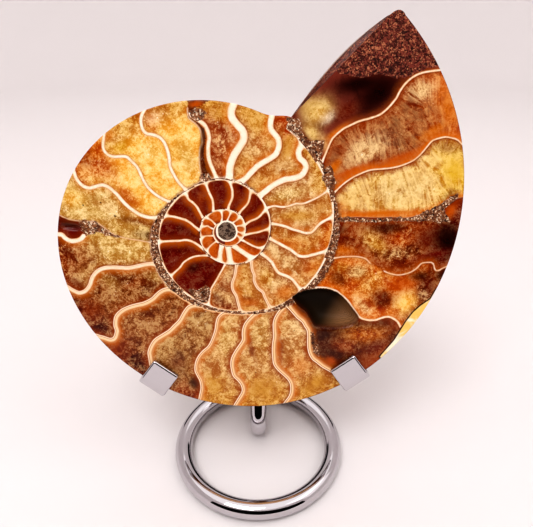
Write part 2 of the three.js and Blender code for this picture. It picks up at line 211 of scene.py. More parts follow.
def wrap_quads(rows, sides, ring=False):
    """The quads between neighbouring rows of a grid that closes on itself sideways, and with ring
    also from its last row to its first."""
    row = np.arange(rows if ring else rows - 1)[:, None]
    side = np.arange(sides)[None, :]
    beside = (side + 1) % sides
    below = (row + 1) % rows
    corners = [row * sides + side, row * sides + beside, below * sides + beside, below * sides + side]
    return np.stack(np.broadcast_arrays(*corners), -1).reshape(-1, 4)


def closed_skin(name, grid):
    """A tube of rows and sides, closed at each end by a fan to the middle of its last row."""
    rows, sides, _ = grid.shape
    points = np.concatenate([grid.reshape(-1, 3), grid[0].mean(0)[None], grid[-1].mean(0)[None]])
    side = np.arange(sides)
    beside = (side + 1) % sides
    first = np.stack([side * 0 + rows * sides, beside, side], -1)
    last_row = (rows - 1) * sides
    last = np.stack([side * 0 + rows * sides + 1, last_row + side, last_row + beside], -1)
    return make_piece(name, points, [wrap_quads(rows, sides), np.concatenate([first, last])])


def rounded_path(corners, radii, steps):
    """A flat path of straight runs. Each inner corner becomes an arc of its radius, which starts and
    ends radius / tan(half the corner's angle) from the corner."""
    corners = np.asarray(corners, float)
    points = [corners[:1]]
    for before, place, after, radius in zip(corners[:-2], corners[1:-1], corners[2:], radii):
        back = (before - place) / np.linalg.norm(before - place)
        on = (after - place) / np.linalg.norm(after - place)
        half = math.acos(float(back @ on)) / 2
        middle = (back + on) / np.linalg.norm(back + on)
        centre = place + middle * radius / math.sin(half)
        arm = place + back * radius / math.tan(half) - centre
        sense = math.copysign(1.0, back[0] * on[1] - back[1] * on[0])
        turn = -sense * (math.pi - 2 * half) * np.linspace(0, 1, steps)
        points.append(centre + np.stack([arm[0] * np.cos(turn) - arm[1] * np.sin(turn),
                                         arm[0] * np.sin(turn) + arm[1] * np.cos(turn)], -1))
    points.append(corners[-1:])
    return np.concatenate(points)


def along_path(path, stations):
    """The points and directions of a path at the given lengths along it."""
    steps = np.linalg.norm(np.diff(path, axis=0), axis=1)
    length = np.concatenate([[0], np.cumsum(steps)])
    places = np.stack([np.interp(stations, length, path[:, i]) for i in range(2)], -1)
    reach = 0.02
    ahead = np.stack([np.interp(stations + reach, length, path[:, i]) for i in range(2)], -1)
    behind = np.stack([np.interp(stations - reach, length, path[:, i]) for i in range(2)], -1)
    way = ahead - behind
    return places, way / np.linalg.norm(way, axis=1, keepdims=True)


# The chrome stand


def ring_base():
    """A torus: a round section of the rod's radius carried once round the ring."""
    around = np.linspace(0, TAU, RING_STEPS, endpoint=False)[:, None]
    section = np.linspace(0, TAU, ROD_SIDES, endpoint=False)[None, :]
    reach = RING_RADIUS + ROD_RADIUS * np.cos(section)
    height = ROD_RADIUS + ROD_RADIUS * np.sin(section) + 0 * around
    grid = np.stack([reach * np.cos(around), reach * np.sin(around), height], -1) + RING_CENTRE
    quads = wrap_quads(RING_STEPS, ROD_SIDES, ring=True)
    return make_piece("ring_base_chrome", grid.reshape(-1, 3), [quads])


def round_end(reach, steps, start=0.0):
    """Stations that close a round end: reach * (1 - cos of an angle from start to a quarter turn)."""
    return reach * (1 - np.cos(np.linspace(start, math.pi / 2, steps)))


def stem():
    """The rod's path from the back of the ring, up at its middle and back behind the fossil. The
    section is |x|^n + |y|^n = 1, from n = 2 for the round rod to n = 5 for the flat tongue."""
    rod_depth = FIRST_STRIP_DEPTH + 1.5 * STRIP_THICKNESS + 2 * GAP + ROD_RADIUS
    end_half = STRIP_WIDTH / 2
    tip = 0.05
    top_end = face_to_world(RIVET_PLACE[0], rod_depth, RIVET_PLACE[1] + end_half) - RING_CENTRE
    top_bend = face_to_world(RIVET_PLACE[0], rod_depth, RIVET_PLACE[1] - TOP_BEND_BELOW_RIVET) - RING_CENTRE
    corners = [(RING_RADIUS - ROD_RUN_IN, ROD_RADIUS), (0, ROD_RADIUS), top_bend[1:], top_end[1:]]
    path = rounded_path(corners, [ELBOW_RADIUS, TOP_BEND_RADIUS], STEM_BEND_STEPS)
    length = np.linalg.norm(np.diff(path, axis=0), axis=1).sum()
    along_rod = np.linspace(0, length - end_half, STEM_STEPS)
    stations = np.unique(np.concatenate([along_rod, length - tip - round_end(end_half, TONGUE_END_STEPS)]))
    places, way = along_path(path, stations)
    to_end = length - stations
    flat = 1 - smoothstep(to_end, TONGUE_LENGTH, TONGUE_AND_BLEND)
    beyond = np.clip(1 - to_end / end_half, 0, 1)
    half_thick = ROD_RADIUS + (TONGUE_THICKNESS / 2 - ROD_RADIUS) * flat
    half_width = (ROD_RADIUS + (end_half - ROD_RADIUS) * flat) * np.sqrt(1 - beyond ** 2 * 0.99)
    places = places + np.stack([-way[:, 1], way[:, 0]], -1) * (ROD_RADIUS - half_thick)[:, None]
    turn = (np.arange(ROD_SIDES) + 0.5) / ROD_SIDES * TAU
    power = (2 / (2 + 3 * flat))[:, None]
    across = half_width[:, None] * np.sign(np.cos(turn)) * np.abs(np.cos(turn)) ** power
    proud = half_thick[:, None] * np.sign(np.sin(turn)) * np.abs(np.sin(turn)) ** power
    y = places[:, :1] - way[:, 1:] * proud
    z = places[:, 1:] + way[:, :1] * proud
    return closed_skin("stem_chrome", np.stack([-across, y, z], -1) + RING_CENTRE)


def strip_section(half_width, half_thick):
    """A flat bar's section with rounded edges: quarter arcs at the corners, and one more point a
    little way along each flat so that the flat stays flat in the light."""
    along_flat = 1.9
    arc = np.linspace(0, math.pi / 2, STRIP_EDGE_STEPS)
    corner = np.stack([np.cos(arc), np.sin(arc)], -1) - 1
    corner = np.concatenate([corner, [[-along_flat, 0.0]]])
    upper = np.concatenate([corner, corner[::-1] * [-1, 1]])
    full = np.concatenate([upper, upper * [-1, -1]])
    signs = np.repeat([[1, 1], [-1, 1], [-1, -1], [1, -1]], len(corner), axis=0)
    edge = np.minimum(STRIP_EDGE_RADIUS, half_width * 0.5)[:, None]
    across = signs[:, 0] * half_width[:, None] + full[:, 0] * edge
    proud = signs[:, 1] * half_thick[:, None] + full[:, 1] * edge
    return across, proud


def rim_distance(way):
    """How far the fossil's edge lies from the rivet in one direction, closing in on it step by step."""
    first_guess = 20.0
    tries = 60
    reach = first_guess
    for _ in range(tries):
        spot = RIVET_PLACE + way * reach
        reach += float(outline_radius(math.atan2(spot[1], spot[0])) - np.hypot(*spot))
    return reach


def clip(name, angle, strip_depth, hook_depth):
    """A strip behind the fossil that turns under its edge and comes up in front as a short plate: a
    rounded path along the strip and in depth, carrying a flat section that is round at the rivet."""
    turned = math.radians(angle)
    way = np.array([math.cos(turned), math.sin(turned)])
    beside = np.array([-way[1], way[0]])
    rim = rim_distance(way)
    half = STRIP_THICKNESS / 2
    end_half = STRIP_WIDTH / 2
    under = rim + RIM_CLEARANCE + half
    front = -(GAP + half)
    corners = [(-end_half, strip_depth), (STRIP_WIDTH, strip_depth), (under, hook_depth),
               (under, front), (rim - PLATE_OVERLAP, front)]
    path = rounded_path(corners, [BACK_BEND_RADIUS, HOOK_BACK_RADIUS, HOOK_FRONT_RADIUS], STRIP_BEND_STEPS)
    length = np.linalg.norm(np.diff(path, axis=0), axis=1).sum()
    past_ends = 0.1
    middle = np.linspace(end_half + past_ends, length - STRIP_EDGE_RADIUS - past_ends, STRIP_STEPS)
    plate_end = length - round_end(STRIP_EDGE_RADIUS, PLATE_END_STEPS)
    rivet_end = round_end(end_half, STRIP_END_STEPS, start=0.05)
    stations = np.unique(np.concatenate([rivet_end, middle, plate_end]))
    places, along = along_path(path, stations)
    from_end = np.clip(1 - stations / end_half, 0, 1)
    edge = np.clip(1 - (length - stations) / STRIP_EDGE_RADIUS, 0, 1)
    inset = STRIP_EDGE_RADIUS * (1 - np.sqrt(1 - edge ** 2))
    across, proud = strip_section(end_half * np.sqrt(1 - from_end ** 2) - inset, half - inset)
    out = np.stack([-along[:, 1], along[:, 0]], -1)
    reach = places[:, :1] + out[:, :1] * proud
    depth = places[:, 1:] + out[:, 1:] * proud
    right = RIVET_PLACE[0] + way[0] * reach + beside[0] * across
    up = RIVET_PLACE[1] + way[1] * reach + beside[1] * across
    return closed_skin(name, face_to_world(right, depth, up))


def rivet():
    """A shank turned about its own line, with a low dome at each end: quarter ellipses."""
    low = FIRST_STRIP_DEPTH - STRIP_THICKNESS / 2 - GAP
    high = low + 2 * (STRIP_THICKNESS + GAP) + TONGUE_THICKNESS + 2 * GAP
    rise = np.linspace(0.03, math.pi / 2, DOME_STEPS)
    dome = np.stack([RIVET_HEAD_RADIUS * np.sin(rise), RIVET_HEAD_HEIGHT * np.cos(rise)], -1)
    front = dome * [1, -1] + [0, low]
    back = dome[::-1] + [0, high]
    shank = np.array([[RIVET_RADIUS, low], [RIVET_RADIUS, high]])
    profile = np.concatenate([front, shank, back])
    turn = np.linspace(0, TAU, RIVET_SIDES, endpoint=False)
    right = RIVET_PLACE[0] + profile[:, :1] * np.cos(turn)
    up = RIVET_PLACE[1] + profile[:, :1] * np.sin(turn)
    return closed_skin("rivet_chrome", face_to_world(right, profile[:, 1:] + 0 * right, up))


# The fossil's form


def wall_radius(turned):
    """The shell's outer wall: a radius that grows with the angle as exp(growth * angle), with the
    slight unevenness of this shell added as a few waves once, twice and three times a turn."""
    uneven = sum(cosine * np.cos(waves * turned) + sine * np.sin(waves * turned)
                 for waves, cosine, sine in UNEVEN_WAVES)
    return FACE_RADIUS * np.exp(GROWTH_PER_RADIAN * turned + uneven)


def outline_radius(turned):
    """The last turn's edge: the wall, and under the mouth the stone that fills the notch."""
    fill = smoothstep(NOTCH_FILL_FROM - turned, 0, NOTCH_FILL_TURN)
    return wall_radius(turned) + np.where(turned > LAST_TURN_FROM, NOTCH_FILL * fill * fill, 0)


def rib_sweep(share):
    """How far round the spiral a rib lies at a share of the turn's radius: a bend and a lean."""
    return RIB_BEND * (share - RIB_BEND_MIDDLE) ** 2 - RIB_LEAN * share


def turn_depth(turned, radius):
    """How far one turn stands behind the face: a flank that swells from the edge as the root of
    1 - x^2.3, a rounded shoulder, a steep wall to the middle, and low ribs that sweep forward."""
    edge = outline_radius(turned)
    share = radius / edge
    inside = (share < 1) & (share > INNER_EDGE)
    share = np.clip(share, INNER_EDGE, 1)
    outer = np.sqrt(1 - np.clip((share - CREST) / (1 - CREST), 0, 1) ** 2.3)
    inner = 1 - 0.5 * np.clip(CREST - share, 0, 1) ** 2 / (CREST - INNER_EDGE)
    fall = np.sqrt(1 - np.clip((SHOULDER - share) / (SHOULDER - INNER_EDGE), 0, 1) ** 2.4)
    rib = np.cos(RIBS_PER_TURN * (turned + rib_sweep(share)))
    rib_fade = smoothstep(share, 0.42, 0.6) * (1 - smoothstep(share, 0.86, 0.97))
    depth = WIDTH_SHARE * edge * outer * inner * fall + RIB_HEIGHT * (edge / FACE_RADIUS) * rib * rib_fade
    return np.where(inside, depth, 0.0)


def back_depths(turned, radius):
    """The depth of each turn at a place on the back; the deepest is the one seen."""
    return np.stack([turn_depth(turned - turn * TAU, radius) for turn in range(TURNS)])


def back_depth(turned, radius):
    """The back's depth, never less than the floor of the hollow middle, which thins away outwards."""
    floor = UMBILICUS_FLOOR * (1 - 0.9 * smoothstep(radius, UMBILICUS_LEVEL, UMBILICUS_REACH))
    return np.maximum(back_depths(turned, radius).max(0), floor)


def last_turn_angle(angle):
    """An angle brought into the last turn, which ends at the notch under the mouth."""
    return np.where(angle > NOTCH_ANGLE + TAU, angle - TAU, angle)


def face_outline():
    """The cut face's outline once round, as angles, places and how far the mouth's wall swells: the
    spiral, the tip as a curve with one control point, and the straight broken edge to the notch."""
    turned = np.linspace(NOTCH_ANGLE, APERTURE_START, SPIRAL_STEPS + 1)
    spiral = outline_radius(turned)[:, None] * np.stack([np.cos(turned), np.sin(turned)], -1)
    t = np.linspace(0, 1, TIP_STEPS + 2)[1:-1, None]
    tip = (1 - t) ** 2 * spiral[-1] + 2 * t * (1 - t) * TIP_CORNER + t * t * EDGE_TOP
    share = np.linspace(0, 1, EDGE_STEPS + 1)
    edge = EDGE_TOP + (EDGE_BOTTOM - EDGE_TOP) * share[:, None]
    place = np.concatenate([spiral, tip, edge])
    swell = APERTURE_FLARE * np.sin(math.pi * (0.03 + 0.95 * share) ** 0.8)
    flare = np.concatenate([np.zeros(len(spiral) + len(tip)), swell])
    angle = np.arctan2(place[:, 1], place[:, 0])
    angle[:len(turned)] = turned
    return angle, place, flare


def line_through(points, count, closed=False):
    """A smooth line through given points: cubic pieces whose slope at each point is half the
    step from the point before to the point after."""
    points = np.asarray(points, float)
    if closed:
        padded = np.concatenate([points[-1:], points, points[:2]])
        spans = len(points)
    else:
        padded = np.concatenate([2 * points[:1] - points[1:2], points, 2 * points[-1:] - points[-2:-1]])
        spans = len(points) - 1
    where = np.linspace(0, spans, count, endpoint=not closed)
    span = np.minimum(where.astype(int), spans - 1)
    t = (where - span)[:, None]
    p0, p1, p2, p3 = (padded[span + i] for i in range(4))
    return p1 + 0.5 * t * (p2 - p0 + t * (2 * p0 - 5 * p1 + 4 * p2 - p3 + t * (3 * (p1 - p2) + p3 - p0)))


def distance_to_line(places, line):
    """The distance from each place to a line of short straight runs, positive on the left of the
    line's own direction, and how far along the line the nearest point lies, from 0 to 1."""
    start = line[:-1]
    run = line[1:] - start
    to_place = places[:, None, :] - start[None]
    share = np.clip((to_place * run).sum(-1) / (run * run).sum(-1), 0, 1)
    apart = to_place - share[..., None] * run
    squared = (apart * apart).sum(-1)
    nearest = squared.argmin(1)
    index = np.arange(len(places))
    side = run[nearest, 0] * to_place[index, nearest, 1] - run[nearest, 1] * to_place[index, nearest, 0]
    distance = np.sqrt(squared[index, nearest]) * np.where(side < 0, -1, 1)
    return distance, (nearest + share[index, nearest]) / len(run)


# The open hollow: the chamber that no crystal filled, its edge read from the photograph
HOLLOW_EDGE = [
    (292, 298), (299, 293.5), (308, 290.5), (323, 289), (337, 292.5), (346.5, 301), (353, 309),
    (359, 317.5), (356, 323), (349, 326.5), (338, 328), (325, 328), (315, 327), (311, 321), (306, 313),
    (299, 307),
]
# Its depth, the share of it where the floor's ellipsoid ends, how far in its side falls, and the
# ellipsoid's middle, tilt and half sizes
HOLLOW_DEPTH = 4.9
HOLLOW_EDGE_DEPTH = 0.35
HOLLOW_RUN_IN = 2.4
HOLLOW_MIDDLE = np.array([25.9, -20.6])
HOLLOW_TILT = math.radians(-18.0)
HOLLOW_HALF = np.array([9.5, 5.5])
# It lies within this reach of its middle, and its painted lit side, lighter brown where light falls on its
# wall, lies this way across it
HOLLOW_NEAR = 16.0
HOLLOW_LIT = np.array([0.87, -0.5])

# What stands for the distance to an outline that is well away
FAR_OUTSIDE = -9.0

# Smaller open places: right, up, tilt, length, width, depth
PITS = [(-6.3, -16.8, -40.0, 2.0, 1.4, 1.2), (-5.6, 21.6, 84.0, 8.0, 1.0, 1.1),
        (-39.5, 1.0, -6.0, 6.0, 1.3, 0.9)]


def hollow_distance(places):
    """How far inside the hollow's edge a place is; negative outside."""
    line = line_through(from_photo(HOLLOW_EDGE), 96, closed=True)
    distance, _ = distance_to_line(places, np.concatenate([line, line[:1]]))
    turn = line * np.roll(line, -1, 0)[:, ::-1]
    return distance * np.sign((turn[:, 0] - turn[:, 1]).sum())


def hollow_inside(places):
    """The distance inside the hollow's edge, worked out only round about it."""
    inside = np.full(len(places), FAR_OUTSIDE)
    near = np.hypot(*(places - HOLLOW_MIDDLE).T) < HOLLOW_NEAR
    inside[near] = hollow_distance(places[near])
    return inside


def along_and_across(apart, tilt):
    """Offsets in a plane, measured along a line that is tilted by an angle, and across it."""
    return (apart[:, 0] * math.cos(tilt) + apart[:, 1] * math.sin(tilt),
            apart[:, 1] * math.cos(tilt) - apart[:, 0] * math.sin(tilt))


def face_relief(places):
    """How deep the face lies: a bowl that falls as a quarter ellipse from the hollow's edge to a floor
    rounded as an ellipsoid, and small pits of the form depth * (1 - e^2)^0.6, where e is 1 at the edge."""
    share = np.clip(hollow_inside(places) / HOLLOW_RUN_IN, 0, 1)
    along, across = along_and_across(places - HOLLOW_MIDDLE, HOLLOW_TILT)
    bowl = np.sqrt(np.clip(1 - (along / HOLLOW_HALF[0]) ** 2 - (across / HOLLOW_HALF[1]) ** 2, 0, 1))
    floor = HOLLOW_EDGE_DEPTH + (1 - HOLLOW_EDGE_DEPTH) * bowl
    depth = HOLLOW_DEPTH * np.sqrt(1 - (1 - share) ** 2) * floor
    for right, up, tilt, length, width, deep in PITS:
        along, across = along_and_across(places - np.array([right, up]), math.radians(tilt))
        e_squared = (along / (length / 2)) ** 2 + (across / (width / 2)) ** 2
        depth = np.maximum(depth, deep * np.clip(1 - e_squared, 0, 1) ** 0.6)
    return depth


# How finely the fossil is cut: rings across the face, the back and the mouth's wall, and steps
# round its edge on the spiral, the tip and the broken edge
FACE_RINGS = 104
BACK_RINGS = 46
WALL_RINGS = 8
SPIRAL_STEPS = 540
TIP_STEPS = 6
EDGE_STEPS = 60
# How the back's rings close up towards the rim: share of the rings passed, and share of the radius
BACK_RING_SHARES = [(0, 1), (0.18, 0.93), (0.42, 0.62), (0.75, 0.24), (0.9, 0.1), (1, 0.02)]
RIM_RINGS = 0.18
# How far in the face's rings are drawn past the arris, the first of them and the rest, and the
# smallest share of the radius that one may have
FACE_FIRST_INSET = 0.4
FACE_INSET = 0.9
SMALLEST_SHARE = 0.003


def fossil_points():
    """The half as one grid: rows from the middle of the back out to the rim, over a small arris, and
    in across the face. A point's place is its column's edge point times its row's share. Gives also
    how far the mouth's wall swells in each column."""
    angle, place, flare = face_outline()
    reach = np.hypot(place[:, 0], place[:, 1])
    t = np.linspace(0, 1, BACK_RINGS + 1)[:-1]
    back_shares = np.interp(t, *np.array(BACK_RING_SHARES).T)
    back_shares = 1 - (1 - back_shares) * np.clip(t / RIM_RINGS, 0, 1) ** 0.8
    t = np.linspace(1, 0, FACE_RINGS + 1)[:-1]
    face_shares = np.concatenate([[1.0, 1.0], t ** 1.25])
    face_inset = np.concatenate([[ARRIS, FACE_FIRST_INSET], np.full(FACE_RINGS, FACE_INSET)])
    back_grid = place[None] * back_shares[:, None, None]
    depth = back_depth(angle[None], reach[None] * back_shares[:, None])
    depth[0] = ARRIS

    # the mouth's broken wall stands straight up from its edge, and swells
    wall = back_depth(angle, reach - 0.02)
    rise = np.clip(np.arange(BACK_RINGS) / WALL_RINGS, 0, 1)[:, None]
    swell = np.sin(math.pi / 2 * np.clip(rise * 1.25, 0, 1)) * flare
    mouth_wall = place[None] + swell[..., None] * np.array([-1, 1]) / math.sqrt(2)
    mouth_depth = ARRIS + (wall * 0.8 - ARRIS) * rise
    in_wall = (np.arange(BACK_RINGS) < WALL_RINGS)[:, None] & (flare > 0)[None]
    back_grid = np.where(in_wall[..., None], mouth_wall, back_grid)
    depth = np.where(in_wall, mouth_depth, depth)

    face_shares = np.maximum(face_shares[:, None] - face_inset[:, None] / reach[None], SMALLEST_SHARE)
    face_grid = place[None] * face_shares[..., None]
    relief = face_relief(face_grid.reshape(-1, 2)).reshape(face_grid.shape[:2])
    plan = np.concatenate([back_grid[::-1], face_grid])
    depths = np.concatenate([depth[::-1], relief])
    return np.stack([plan[..., 0], depths, plan[..., 1]], -1), flare


def fossil(grid):
    """The fossil's mesh, closed at the middle of the back and of the face by a fan."""
    return closed_skin("ammonite_polished_half", face_to_world(grid[..., 0], grid[..., 1], grid[..., 2]))
